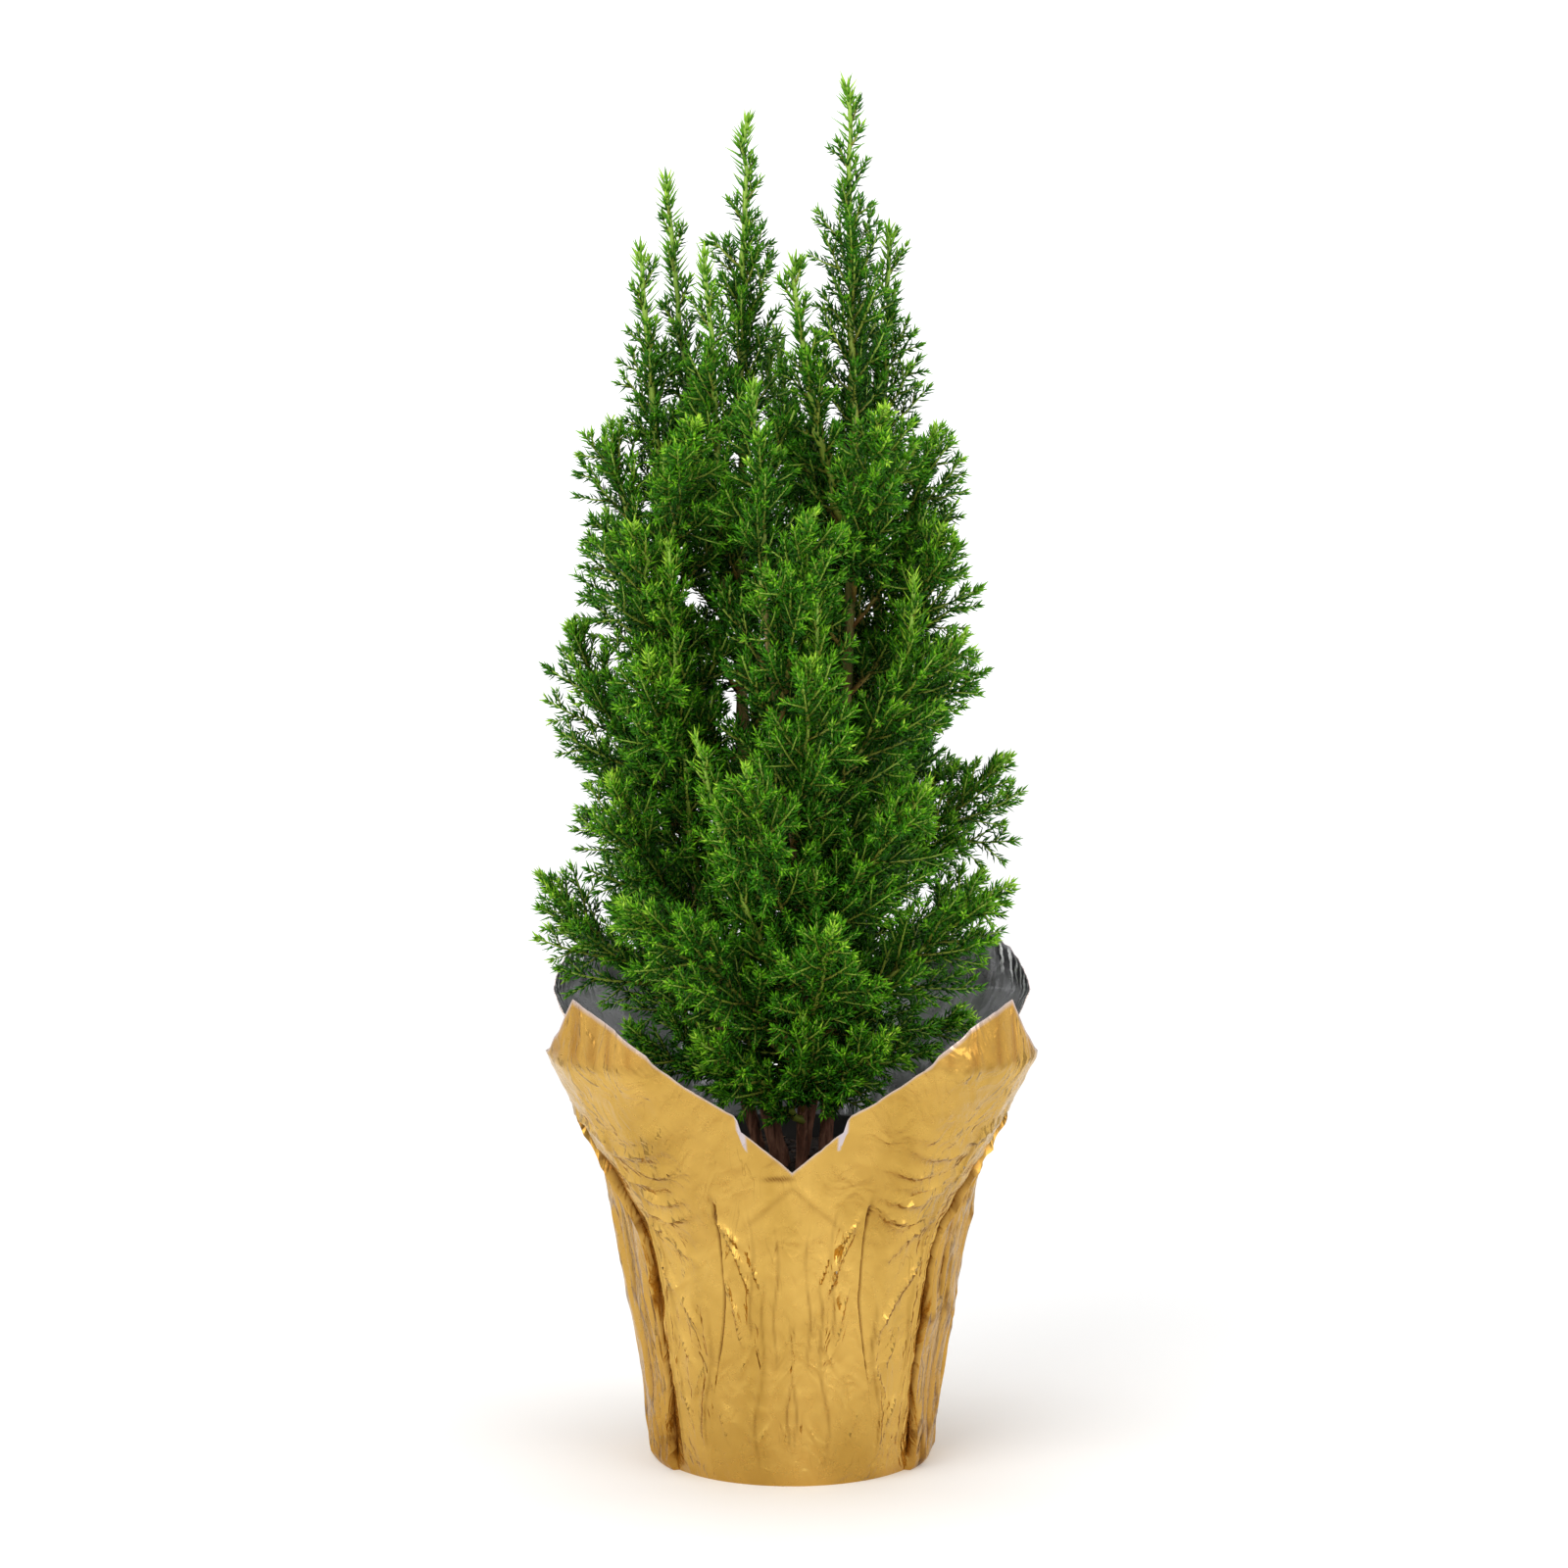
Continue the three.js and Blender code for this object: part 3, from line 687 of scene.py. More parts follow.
# ------------------------------------------------------------------ tubes and needles
def tube(points, radii, sides, rng, rough):
    """Points and quads of an open tube along points, with one radius for each, roughened at random."""
    points = np.asarray(points)
    count = len(points)
    tangents = unit(np.gradient(points, axis=0))
    side = np.cross(tangents[0], (0.0, 0.0, 1.0))
    if np.linalg.norm(side) < 1e-3:
        side = np.array((1.0, 0.0, 0.0))
    across = np.empty_like(points)
    for i, tangent in enumerate(tangents):
        side = side - tangent * np.dot(side, tangent)
        side = side / np.linalg.norm(side)
        across[i] = side
    up = np.cross(tangents, across)
    angles = np.linspace(0, 2 * np.pi, sides, endpoint=False)
    spokes = np.cos(angles)[None, :, None] * across[:, None] + np.sin(angles)[None, :, None] * up[:, None]
    reach = np.asarray(radii)[:, None] * np.ones(sides)[None]
    reach = reach * (1 + rough * (rng.random((count, sides)) - 0.5))
    ring = points[:, None] + spokes * reach[..., None]
    around = np.arange(sides)
    after = (around + 1) % sides
    start = (np.arange(count - 1) * sides)[:, None]
    quads = np.stack([start + around, start + after, start + sides + after, start + sides + around], axis=-1)
    return ring.reshape(-1, 3), quads.reshape(-1, 4)


def model_needle():
    """One needle, a unit long and wide: drawn to a point at its tip and narrowed again at its foot."""
    deselect_all()
    bpy.ops.mesh.primitive_cone_add(vertices=3, radius1=0.5, radius2=0.0, depth=0.64, location=(0, 0, 0.68))
    needle = bpy.context.object
    bpy.ops.object.transform_apply(location=True)
    bpy.ops.object.mode_set(mode="EDIT")
    bpy.ops.mesh.select_mode(type="FACE")
    shape = bmesh.from_edit_mesh(needle.data)
    for face in shape.faces:
        face.select_set(face.normal.z < -0.9)
    shape.select_flush(True)
    bpy.ops.mesh.poke()
    shape = bmesh.from_edit_mesh(needle.data)
    for vertex in shape.verts:
        if len(vertex.link_edges) == 3 and vertex.co.z < 0.5:
            vertex.co.z = 0.0
    bmesh.update_edit_mesh(needle.data)
    bpy.ops.mesh.select_all(action="SELECT")
    bpy.ops.transform.resize(value=(1.0, 0.62, 1.0), center_override=(0, 0, 0))
    close_edit()
    points = corner_points(needle.data)
    faces = np.array([p.vertices[:] for p in needle.data.polygons])
    under = np.array([p.normal.y < -0.3 for p in needle.data.polygons])
    bpy.data.objects.remove(needle)
    return points, faces, under


NEEDLE_POINTS, NEEDLE_FACES, NEEDLE_UNDER = model_needle()


class Foliage:
    """Collects twigs and the needles on them, and turns them into one mesh."""

    def __init__(self, seed):
        self.rng = np.random.default_rng(seed)
        self.twigs = []
        self.needles = []  # arrays of place, direction, face normal, length, width and tone

    def twig(self, points, thick, thin, age, sides=4):
        """A woody twig; age is the tone of its bark at its two ends, 0 brown to 1 green."""
        radii = np.linspace(thick, thin, len(points))
        self.twigs.append((np.asarray(points), radii, np.linspace(age[0], age[1], len(points)), sides))

    def clothe(self, points, spacing, length, width, tones, spread=(48, 22), bare=0.0, whorl=2, tuft=0.0025):
        """Needles in crossed whorls along a twig, and a close tuft of them at its end. spread is their
        angle to the twig, along it and at its tip."""
        rng = self.rng
        points = np.asarray(points)
        run = run_of(points)
        total = run[-1]
        tuft = min(tuft, 0.4 * total)
        even = np.arange(total * bare + spacing / 2, total - tuft, spacing)
        at = np.concatenate([even, np.arange(total - tuft, total, 0.55 * spacing)])
        count = len(at)
        at = np.clip(at + rng.normal(0, 0.15 * spacing, count), 0, total)
        share = at / total
        place = np.column_stack([np.interp(at, run, points[:, k]) for k in range(3)])
        middles = (run[1:] + run[:-1]) / 2
        tangent = unit(np.column_stack([np.interp(at, middles, d) for d in np.diff(points, axis=0).T]))
        side = unit(np.cross(tangent, (0.3, 0.2, 1.0)))
        third = np.cross(tangent, side)
        near_tip = 1 - smooth_step(total - at, 0.0, 2.2 * tuft)
        first = rng.random() * 2 * np.pi
        for k in range(whorl):
            azimuth = first + np.arange(count) * (np.pi / whorl) + k * 2 * np.pi / whorl
            azimuth = azimuth + rng.normal(0, 0.28, count)
            angle = np.radians(spread[0] + (spread[1] - spread[0]) * near_tip + rng.normal(0, 7, count))
            away = np.cos(azimuth)[:, None] * side + np.sin(azimuth)[:, None] * third
            direction = np.cos(angle)[:, None] * tangent + np.sin(angle)[:, None] * away
            face = unit(tangent - direction * np.sum(direction * tangent, axis=1, keepdims=True))
            long = length * rng.uniform(0.75, 1.15, count) * (1 - 0.25 * near_tip)
            tone = tones[0] + (tones[1] - tones[0]) * share**2 + rng.normal(0, 0.07, count)
            wide = width * rng.uniform(0.85, 1.15, count)
            self.needles.append((place, direction, face, long, wide, np.clip(tone, 0.01, 0.99)))

    def build(self, name, materials):
        place, direction, face, long, wide, tone = (np.concatenate(c) for c in zip(*self.needles))
        count, each = len(place), len(NEEDLE_POINTS)
        across = np.cross(direction, face)
        x, y, z = NEEDLE_POINTS.T
        bow = (0.06 * z * z)[None, :, None] * long[:, None, None] * face[:, None]
        points = (
            place[:, None]
            + (x[None] * wide[:, None])[..., None] * across[:, None]
            + (y[None] * wide[:, None])[..., None] * face[:, None]
            + (z[None] * long[:, None])[..., None] * direction[:, None]
            + bow
        ).reshape(-1, 3)
        start = (np.arange(count) * each)[:, None]
        loops = [(start[..., None] + NEEDLE_FACES[None]).reshape(-1)]
        sizes = [np.full(count * len(NEEDLE_FACES), 3)]
        slots = [np.zeros(count * len(NEEDLE_FACES), int)]
        along = 0.02 + 0.3 * z[NEEDLE_FACES] + 0.36 * NEEDLE_UNDER[:, None]
        uvs = [np.stack([np.repeat(tone, along.size), np.tile(along.reshape(-1), count)], axis=1)]
        all_points, offset = [points], len(points)
        for line, radii, ages, sides in self.twigs:
            ring, quads = tube(line, radii, sides, self.rng, 0.15)
            all_points.append(ring)
            rows = np.repeat(np.arange(len(line)), sides)
            ring_uv = np.stack([ages[rows], 0.78 + 0.18 * rows / max(len(line) - 1, 1)], axis=1)
            caps = [np.arange(sides)[::-1], np.arange(len(ring) - sides, len(ring))]
            loops.append((quads + offset).reshape(-1))
            uvs.append(ring_uv[quads.reshape(-1)])
            sizes.append(np.full(len(quads), 4))
            for cap in caps:
                loops.append(cap + offset)
                uvs.append(ring_uv[cap])
                sizes.append(np.array([sides]))
            slots.append(np.ones(len(quads) + 2, int))
            offset += len(ring)
        points, uvs = np.concatenate(all_points), np.concatenate(uvs)
        loops, sizes, slots = np.concatenate(loops), np.concatenate(sizes), np.concatenate(slots)
        mesh = bpy.data.meshes.new(name)
        mesh.vertices.add(len(points))
        mesh.vertices.foreach_set("co", points.ravel())
        mesh.loops.add(len(loops))
        mesh.loops.foreach_set("vertex_index", loops.astype(np.int32))
        mesh.polygons.add(len(sizes))
        starts = np.concatenate([[0], np.cumsum(sizes)[:-1]])
        mesh.polygons.foreach_set("loop_start", starts.astype(np.int32))
        mesh.polygons.foreach_set("material_index", slots.astype(np.int32))
        for material in materials:
            mesh.materials.append(material)
        mesh.update(calc_edges=True)
        mesh.polygons.foreach_set("use_smooth", np.ones(len(slots), bool))
        for layer in ("leaf_map", "OFBake"):
            mesh.uv_layers.new(name=layer).data.foreach_set("uv", uvs.astype(np.float32).ravel())
        return object_of(mesh)


# ------------------------------------------------------------------ leafy shoots
def arch(foot, elbow, tip, reach=1.0):
    """Seventeen points along a curve that leaves foot, leans towards elbow and ends at tip."""
    t = np.linspace(0, reach, 17)[:, None]
    return (1 - t) ** 2 * foot + 2 * t * (1 - t) * elbow + t * t * tip


def spine_of(name):
    """The curve down the middle of a shoot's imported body, from its foot to its tip, as seventeen points."""
    points = node_points(name)
    spread = points - points.mean(axis=0)
    axis = np.linalg.svd(spread, full_matrices=False)[2][0]
    axis = axis if axis[2] > 0 else -axis
    run = spread @ axis
    foot, tip = points[run.argmin()], points[run.argmax()]
    middle = points[np.abs(run - (run.min() + run.max()) / 2) < 0.12 * np.ptp(run)].mean(axis=0)
    elbow = 2 * middle - 0.5 * (foot + tip)
    return arch(foot, elbow, tip, 0.985)


def bent(start, direction, length, lift, sway, rng, count=6):
    """A twig's line from start: it sets off along direction and bends towards lift on its way."""
    step = length / (count - 1)
    line = [np.asarray(start)]
    heading = unit(np.asarray(direction, float))
    for _ in range(count - 1):
        heading = unit(heading + lift / (count - 1) + rng.normal(0, sway, 3))
        line.append(line[-1] + heading * step)
    return np.array(line)


def line_at(line, run, at):
    """The place at a distance along a line, and the line's direction there."""
    place = np.array([np.interp(at, run, line[:, k]) for k in range(3)])
    k = int(np.clip(np.searchsorted(run, at) - 1, 0, len(line) - 2))
    return place, unit(line[k + 1] - line[k])


def run_of(line):
    return np.concatenate([[0], np.cumsum(np.linalg.norm(np.diff(line, axis=0), axis=1))])


def grow_shoot(name, leader, seed, materials):
    """A leafy shoot: its stem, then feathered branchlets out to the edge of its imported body."""
    core = spine_of(name)
    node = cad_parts[name]
    corners = [v.co[:] for v in node.data.vertices]
    body = BVHTree.FromPolygons(corners, [p.vertices[:] for p in node.data.polygons])
    foliage = Foliage(seed)
    rng = foliage.rng
    core = core + rng.normal(0, 0.0005, core.shape)
    if leader:
        foliage.twig(core, 0.0016, 0.0007, (0.5, 0.95), 6)
        foliage.clothe(core, 0.0018, 0.0080, 0.00115, (0.42, 0.92), (54, 33), 0.1, 3, 0.006)
    else:
        foliage.twig(core, 0.00095, 0.00045, (0.3, 0.9), 5)
        foliage.clothe(core, 0.0015, 0.0054, 0.00105, (0.35, 0.95), (54, 34), 0.15, 3, 0.004)

    def reach(place, heading, share):
        hit = body.ray_cast(Vector(place), Vector(heading))[3] or 0.007
        if leader:
            top = smooth_step(share, 0.5, 0.68)
            return ((0.005 + hit) * (1 - top) + 0.0105 * top) * (1 - 0.3 * smooth_step(share, 0.75, 1.0))
        return 0.002 + hit * (1.15 - 0.4 * smooth_step(share, 0.6, 1.0))

    grow_branchlets(foliage, core, reach, 0.0025, 0.0040 if leader else 0.0006, 0.60, 0.30)
    return foliage.build("foliage_" + name.replace("leafy_", ""), materials)


def grow_branchlets(foliage, core, reach, spacing, sparser, fresh, gain):
    """Branchlets in a golden spiral along a core twig, further apart by sparser near its top."""
    rng = foliage.rng
    run = run_of(core)
    total = run[-1]
    at = 0.006
    azimuth = rng.random() * 2 * np.pi
    while at < total - 0.007:
        share = at / total
        place, tangent = line_at(core, run, at)
        side = unit(np.cross(tangent, (0.31, 0.17, 1.0)))
        third = np.cross(tangent, side)
        away = math.cos(azimuth) * side + math.sin(azimuth) * third
        angle = math.radians(rng.uniform(44, 58) - 18 * share)
        heading = math.cos(angle) * tangent + math.sin(angle) * away
        length = float(np.clip(reach(place, heading, share) * rng.uniform(0.82, 1.15), 0.0045, 0.036))
        # The needles are darker low on the core and at each branchlet's foot: older foliage, and painted
        # shade inside the crown.
        tones = (0.1 + 0.25 * share, fresh + gain * share + rng.normal(0, 0.07))
        grow_branchlet(foliage, place, heading, tangent, length, tones)
        at += rng.uniform(0.8, 1.2) * (spacing + sparser * smooth_step(share, 0.5, 0.7))
        azimuth += GOLDEN_ANGLE + rng.normal(0, 0.25)


def grow_branchlet(foliage, place, heading, along, length, tones):
    """A branchlet with short twigs to its left and right, clothed in soft needles."""
    rng = foliage.rng
    line = bent(place, heading, length, 0.45 * along + (0, 0, 0.1), 0.04, rng, 5)
    foliage.twig(line, 0.00055, 0.0003, (0.4, 0.9), 3)
    foliage.clothe(line, 0.00140, 0.0048, 0.00110, tones, (50, 32), 0.05, 2)
    run = run_of(line)
    at, left = 0.0035 + rng.uniform(0, 0.0018), 1
    while length - at > 0.0040:
        start, tangent = line_at(line, run, at)
        sideways = unit(np.cross(tangent, np.cross(along, tangent) + rng.normal(0, 0.3, 3) + 1e-6))
        turn = math.radians(rng.uniform(38, 52))
        direction = math.cos(turn) * tangent + left * math.sin(turn) * sideways
        twiglet = float(np.clip(0.55 * (length - at) * rng.uniform(0.75, 1.2) + 0.0030, 0.0045, 0.0135))
        tip = bent(start, direction, twiglet, 0.3 * tangent, 0.04, rng, 3)
        foliage.twig(tip, 0.0004, 0.00025, (0.55, 0.95), 3)
        foliage.clothe(tip, 0.0013, 0.0042, 0.00098, (tones[0] + 0.1, tones[1] + 0.08), (48, 32), 0.0, 2)
        at += rng.uniform(0.8, 1.2) * 0.0050
        left = -left


# How far the crown reaches from the pot's axis, against height above the table.
CROWN_HEIGHTS = (0.10, 0.135, 0.18, 0.22, 0.30, 0.36, 0.44)
CROWN_REACHES = (0.044, 0.058, 0.070, 0.066, 0.056, 0.048, 0.02)


# Upright shoots that spring from low on a stem and close the gaps in the crown: where on it, and the tip.
LOW_SHOOTS = {
    "woody_stem_front": (
        (0.165, (0.009, -0.050, 0.296)),
        (0.150, (-0.030, -0.056, 0.250)),
        (0.124, (0.004, -0.046, 0.158)),
        (0.116, (-0.014, -0.034, 0.140)),
    ),
    "woody_stem_right": ((0.170, (0.040, -0.030, 0.300)), (0.118, (0.026, -0.034, 0.146))),
    "woody_stem_left": (
        (0.180, (-0.040, -0.034, 0.310)),
        (0.122, (-0.030, -0.030, 0.150)),
        (0.215, (-0.043, -0.004, 0.340)),
    ),
    "woody_stem_back": (
        (0.175, (-0.004, 0.046, 0.285)),
        (0.150, (0.026, 0.050, 0.240)),
        (0.185, (-0.020, 0.022, 0.305)),
        (0.240, (-0.008, 0.022, 0.370)),
    ),
}


def tapering(length, foot, loss):
    """A reach for grow_branchlets that shortens evenly from a twig's foot to its tip."""
    return lambda place, heading, share: length * (foot - loss * share)


def grow_inner(name, seed, materials):
    """Short side shoots on a barky stem, older and painted darker with the shade deep in the crown, that fill
    the crown behind the outer shoots.
    """
    line = stem_line(name)[0]
    foliage = Foliage(seed)
    rng = foliage.rng
    run = run_of(line)
    at = soil_high[2] - line[0][2] + 0.020
    azimuth = rng.random() * 2 * np.pi
    while at < run[-1] - 0.004:
        place, tangent = line_at(line, run, at)
        lift = math.radians(rng.uniform(42, 60))
        flat = math.sin(lift)
        heading = np.array((math.cos(azimuth) * flat, math.sin(azimuth) * flat, math.cos(lift)))
        length = rng.uniform(0.032, 0.050)
        tip = place + heading * length
        room = np.interp(tip[2], CROWN_HEIGHTS, CROWN_REACHES) - np.hypot(*tip[:2])
        length += min(room, 0.0) / math.sin(lift)
        if length > 0.016:
            core = bent(place, heading, length, np.array((0, 0, 0.5)), 0.03, rng, 9)
            foliage.twig(core, 0.0009, 0.0004, (0.2, 0.8), 4)
            foliage.clothe(core, 0.0014, 0.0040, 0.0008, (0.12, 0.65), (54, 30), 0.15, 2)
            grow_branchlets(foliage, core, tapering(0.0145, 1.05, 0.5), 0.0027, 0, 0.36, 0.3)
        at += rng.uniform(0.8, 1.2) * 0.0074
        azimuth += GOLDEN_ANGLE + rng.normal(0, 0.3)
    for level, tip in LOW_SHOOTS.get(name, ()):
        foot = np.array([np.interp(level, line[:, 2], line[:, k]) for k in range(3)])
        drawn = np.array((0.65, 0.8, 0.38))  # how far along X, Y and Z the elbow lies towards the tip
        elbow = np.array((0.35, 0.2, 0.62)) * foot + drawn * tip
        core = arch(foot, elbow, np.array(tip)) + rng.normal(0, 0.0005, (17, 3))
        foliage.twig(core, 0.0014, 0.0006, (0.5, 0.95), 6)
        foliage.clothe(core, 0.0018, 0.0058, 0.001, (0.5, 0.95), (52, 27), 0.2, 3, 0.006)
        grow_branchlets(foliage, core, tapering(0.016, 1.1, 0.6), 0.0026, 0.002, 0.55, 0.35)
    return foliage.build("foliage_" + name.replace("woody_stem", "inner"), materials)


def make_foliage():
    materials = (needle_material(), twig_material())
    names = sorted(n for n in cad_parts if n.startswith("leafy_"))
    for seed, name in enumerate(names):
        shoot = grow_shoot(name, "leader" in name, 100 + seed, materials)
        put_in_frame(shoot, "leaf", name)
    for seed, name in enumerate(STEM_NAMES):
        put_in_frame(grow_inner(name, 300 + seed, materials), "leaf")


# ------------------------------------------------------------------ stems
STEM_NAMES = sorted(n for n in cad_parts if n.startswith("woody_stem"))


def stem_line(name, count=90):
    """A packed stem's middle line and its radius along it, from the rings of its mesh."""
    points = node_points(name)
    points = points[np.argsort(points[:, 2])]
    gaps = np.flatnonzero(np.diff(points[:, 2]) > 0.004) + 1
    rings = [ring for ring in np.split(points, gaps) if len(ring) > 4]
    middles = np.array([ring.mean(axis=0) for ring in rings])
    girths = [np.median(np.linalg.norm(ring - ring.mean(axis=0), axis=1)) for ring in rings]
    levels = np.linspace(points[0, 2], points[-1, 2], count)
    path = np.column_stack([np.interp(levels, middles[:, 2], middles[:, k]) for k in range(2)] + [levels])
    for k in range(2):
        path[4:-4, k] = np.convolve(path[:, k], np.ones(9) / 9, "valid")
    return path, np.interp(levels, middles[:, 2], girths)


def make_stem(name, material):
    """A cylinder is cut into rings, and the rings are set along the stem's line and ridged like bark."""
    path, girth = stem_line(name)
    rows, sides = len(path) - 1, 18
    rng = np.random.default_rng(500 + STEM_NAMES.index(name))
    deselect_all()
    bpy.ops.mesh.primitive_cylinder_add(vertices=sides, radius=girth[0], depth=1.0, location=(0, 0, 0.5))
    stem = named(name.replace("woody_", "barky_"))
    bpy.ops.object.transform_apply(location=True)
    ring_cuts(stem, rows)
    ridges = 1 + 0.16 * (rng.random(sides) - 0.5)
    flakes = rng.random((rows + 1, sides))
    tangents = unit(np.gradient(path, axis=0))
    for vertex in stem.data.vertices:
        row = int(round(vertex.co.z * rows))
        angle = math.atan2(vertex.co.y, vertex.co.x)
        side = int(round(angle / (2 * math.pi) * sides)) % sides
        # A flake stands out over a few rings and then drops back.
        flake = 0.2 * flakes[row // 5, side] * ((row % 5) / 4.0)
        reach = girth[row] * (ridges[side] + flake)
        across = unit(np.cross((0, 1, 0), tangents[row]))
        forward = np.cross(tangents[row], across)
        vertex.co = Vector(path[row] + reach * (math.cos(angle) * across + math.sin(angle) * forward))
    stem.data.materials.append(material)
    only(stem)
    bpy.ops.object.shade_smooth_by_angle(angle=math.radians(50))
    put_in_frame(stem, "bark", name)


def make_stems():
    material = bark_material()
    for name in STEM_NAMES:
        make_stem(name, material)


# ------------------------------------------------------------------ soil and pot
def make_soil():
    deselect_all()
    wide = soil_high[0]
    bpy.ops.mesh.primitive_circle_add(vertices=96, radius=wide, fill_type="NGON", location=(0, 0, 0))
    soil = named("soil_root_ball")
    edit_all()
    for _ in range(26):
        bpy.ops.mesh.inset(thickness=wide / 28)
    bpy.ops.object.mode_set(mode="OBJECT")
    broad, fine = Weave(61, 40, 14), Weave(62, 90, 30)
    for vertex in soil.data.vertices:
        radius = math.hypot(vertex.co.x, vertex.co.y)
        turn = math.atan2(vertex.co.y, vertex.co.x) / (2 * math.pi)
        mound = (soil_high[2] - 0.0025) + 0.0025 * (1 - radius / wide)
        spot = np.array(turn), np.array(radius / wide)
        lumps = 0.0022 * float(broad.at(*spot)) + 0.0011 * float(fine.at(*spot))
        vertex.co.z = mound + (lumps - 0.0018)
    only(soil)
    bpy.ops.object.mode_set(mode="EDIT")
    select_rim()
    narrow = RIM_RADIUS - 0.0075
    draw_rim(-0.012)
    draw_rim(0, narrow / wide)
    draw_rim(-(soil_high[2] - 0.018 - soil_low[2]), 0.8)
    bpy.ops.mesh.edge_face_add()
    close_edit()
    soil.data.materials.append(soil_material())
    bpy.ops.object.shade_smooth_by_angle(angle=math.radians(40))
    put_in_frame(soil, "potting_soil", "potting_soil")


def make_crumbs():
    """Bark chips, peat crumbs and a few pale grains lying on the soil."""
    rng = np.random.default_rng(71)
    deselect_all()
    bpy.ops.mesh.primitive_ico_sphere_add(subdivisions=1, radius=1.0)
    seed = bpy.context.object
    shape = corner_points(seed.data)
    faces = [tuple(p.vertices) for p in seed.data.polygons]
    bpy.data.objects.remove(seed)
    points, all_faces, tones = [], [], []
    for i in range(620):
        radius = (RIM_RADIUS - 0.004) * math.sqrt(rng.random())
        turn = rng.random() * 2 * math.pi
        size = rng.uniform(0.0006, 0.0021)
        uneven = rng.uniform(0.55, 1.25, shape.shape)
        lump = shape * uneven * (size, size * rng.uniform(0.4, 0.9), size * rng.uniform(0.25, 0.6))
        spin = rng.random() * 2 * math.pi
        c, s = math.cos(spin), math.sin(spin)
        lump = lump @ np.array([[c, s, 0], [-s, c, 0], [0, 0, 1]])
        level = soil_high[2] - 0.0022 + 0.0025 * (1 - radius / RIM_RADIUS) + rng.uniform(0, 0.001)
        points.append(lump + (radius * math.cos(turn), radius * math.sin(turn), level))
        all_faces += [tuple(v + i * len(shape) for v in f) for f in faces]
        tone = 0.97 if rng.random() < 0.05 else rng.uniform(0, 0.8)
        tones += [tone] * len(shape)
    mesh = bpy.data.meshes.new("soil_crumbs")
    mesh.from_pydata(np.concatenate(points), [], all_faces)
    mesh.attributes.new("tone", "FLOAT", "POINT").data.foreach_set("value", np.array(tones, np.float32))
    mesh.materials.append(chip_material())
    crumbs = object_of(mesh)
    put_in_frame(crumbs, "potting_soil")


def make_pot():
    """The moulded pot: a bowl drawn up from its base, with a stepped, rolled rim."""
    deselect_all()
    base = 0.043
    neck, rim = RIM_RADIUS - 0.005, RIM_RADIUS
    level = pot_low[2]
    height = RIM_LEVEL - level
    rings = ((neck, height - 0.013), (rim, 0), (None, 0.013))
    bpy.ops.mesh.primitive_circle_add(vertices=128, radius=base, fill_type="NGON", location=(0, 0, 0))
    pot = named("pot_shell")
    edit_all()
    bpy.ops.mesh.inset(thickness=0.006)
    select_rim()
    reach = base
    for radius, rise in rings:
        draw_rim(rise, radius and radius / reach)
        reach = radius
    bpy.ops.mesh.select_all(action="SELECT")
    bpy.ops.transform.translate(value=(0, 0, level))
    close_edit()
    pot.data.materials.append(plastic_material())
    wall = pot.modifiers.new("wall", "SOLIDIFY")
    wall.thickness = PLASTIC_THICKNESS
    wall.offset = -1
    edges = pot.modifiers.new("edges", "BEVEL")
    edges.width = 0.0006
    edges.segments = 3
    edges.limit_method = "ANGLE"
    only(pot)
    bpy.ops.object.modifier_apply(modifier="wall")
    bpy.ops.object.modifier_apply(modifier="edges")
    bpy.ops.object.shade_smooth_by_angle(angle=math.radians(35))
    put_in_frame(pot, "black_plastic", "nursery_pot")


# ------------------------------------------------------------------ studio
def aimed(place, target):
    """The turn that points a camera or a lamp at place towards target."""
    return (Vector(target) - Vector(place)).to_track_quat("-Z", "Y").to_euler()


def set_camera():
    aside = -0.0026
    place, target = (aside, -1.55, 0.424), (aside, 0.0, 0.228)
    bpy.ops.object.camera_add(location=place, rotation=aimed(place, target))
    camera = bpy.context.object
    camera.name = "studio_camera"
    camera.data.sensor_width = 36
    camera.data.lens = 107.6
    camera.data.clip_end = 50
    bpy.context.scene.camera = camera


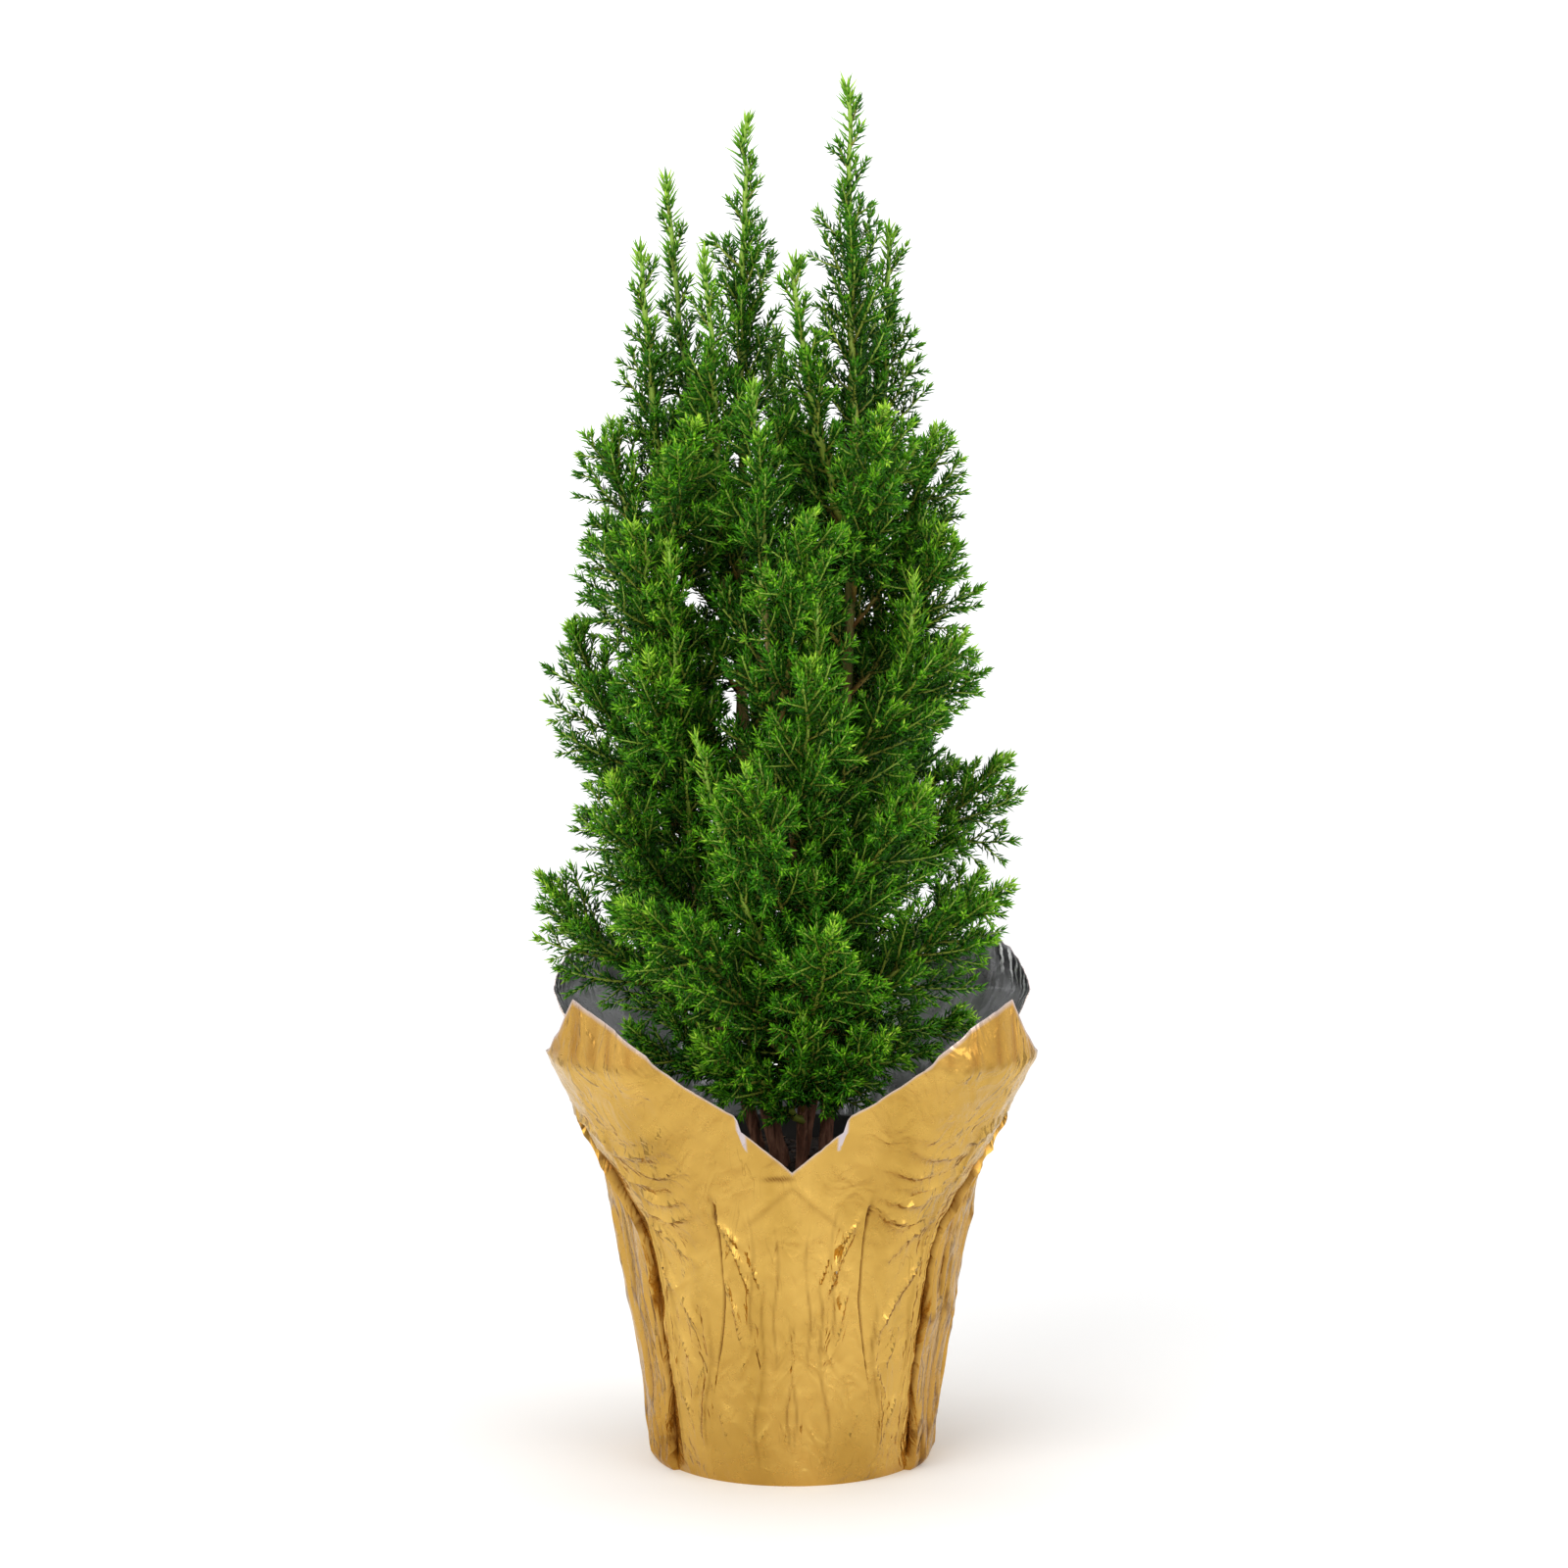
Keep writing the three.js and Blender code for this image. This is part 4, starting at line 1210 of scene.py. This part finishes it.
def add_light(name, place, target, size, power):
    bpy.ops.object.light_add(type="AREA", location=place, rotation=aimed(place, target))
    light = bpy.context.object
    light.name = name
    light.data.shape = "RECTANGLE"
    light.data.size, light.data.size_y = size
    light.data.energy = power


def set_studio():
    """A pale floor that sweeps up all round into a low wall, soft boxes and an even white surround."""
    deselect_all()
    bpy.ops.mesh.primitive_circle_add(vertices=96, radius=2.6, fill_type="NGON", location=(0, 0, 0))
    floor = named("studio_floor")
    edit_all()
    bpy.ops.mesh.inset(thickness=0.9)
    reach = 2.6
    for i in range(1, 13):
        turn = math.radians(7.5 * i)
        radius, rise = 2.6 + 1.2 * math.sin(turn), 1.2 * (math.cos(turn - math.radians(7.5)) - math.cos(turn))
        select_rim()
        draw_rim(rise, radius / reach)
        reach = radius
    close_edit(inside=True)
    bpy.ops.object.shade_smooth_by_angle(angle=math.radians(30))
    finish = Finish("pale studio floor")
    tone = finish.ramp(finish.noise(finish.where(), 0.6), [[0.4, 0.925], [0.6, 0.935]])
    distance = finish.node("VectorMath", "Value", {0: finish.where()}, operation="LENGTH")
    glow = finish.map_range(distance, from_min=0.5, from_max=2.6, to_max=0.4)
    matt = {"Base Color": tone, "Roughness": 1.0, "Specular IOR Level": 0.1}
    floor.data.materials.append(finish.made({**matt, "Emission Color": (1, 1, 1), "Emission Strength": glow}))
    world = bpy.data.worlds.new("white surround")
    bpy.context.scene.world = world
    world.use_nodes = True
    world.node_tree.nodes["Background"].inputs["Color"].default_value = (1, 1, 1, 1)
    world.node_tree.nodes["Background"].inputs["Strength"].default_value = 0.6
    add_light("key_box", (-1.1, -1.5, 1.5), (0, 0, 0.25), (1.6, 1.6), 27)
    add_light("fill_box", (1.5, -1.2, 0.9), (0, 0, 0.2), (1.4, 1.4), 12)
    add_light("top_box", (0, 0.2, 2.0), (0, 0, 0.2), (1.6, 1.2), 14)


set_camera()
make_foil_cover()
make_pot()
make_soil()
make_crumbs()
make_stems()
make_foliage()
set_studio()
bpy.context.scene.view_settings.view_transform = "Standard"
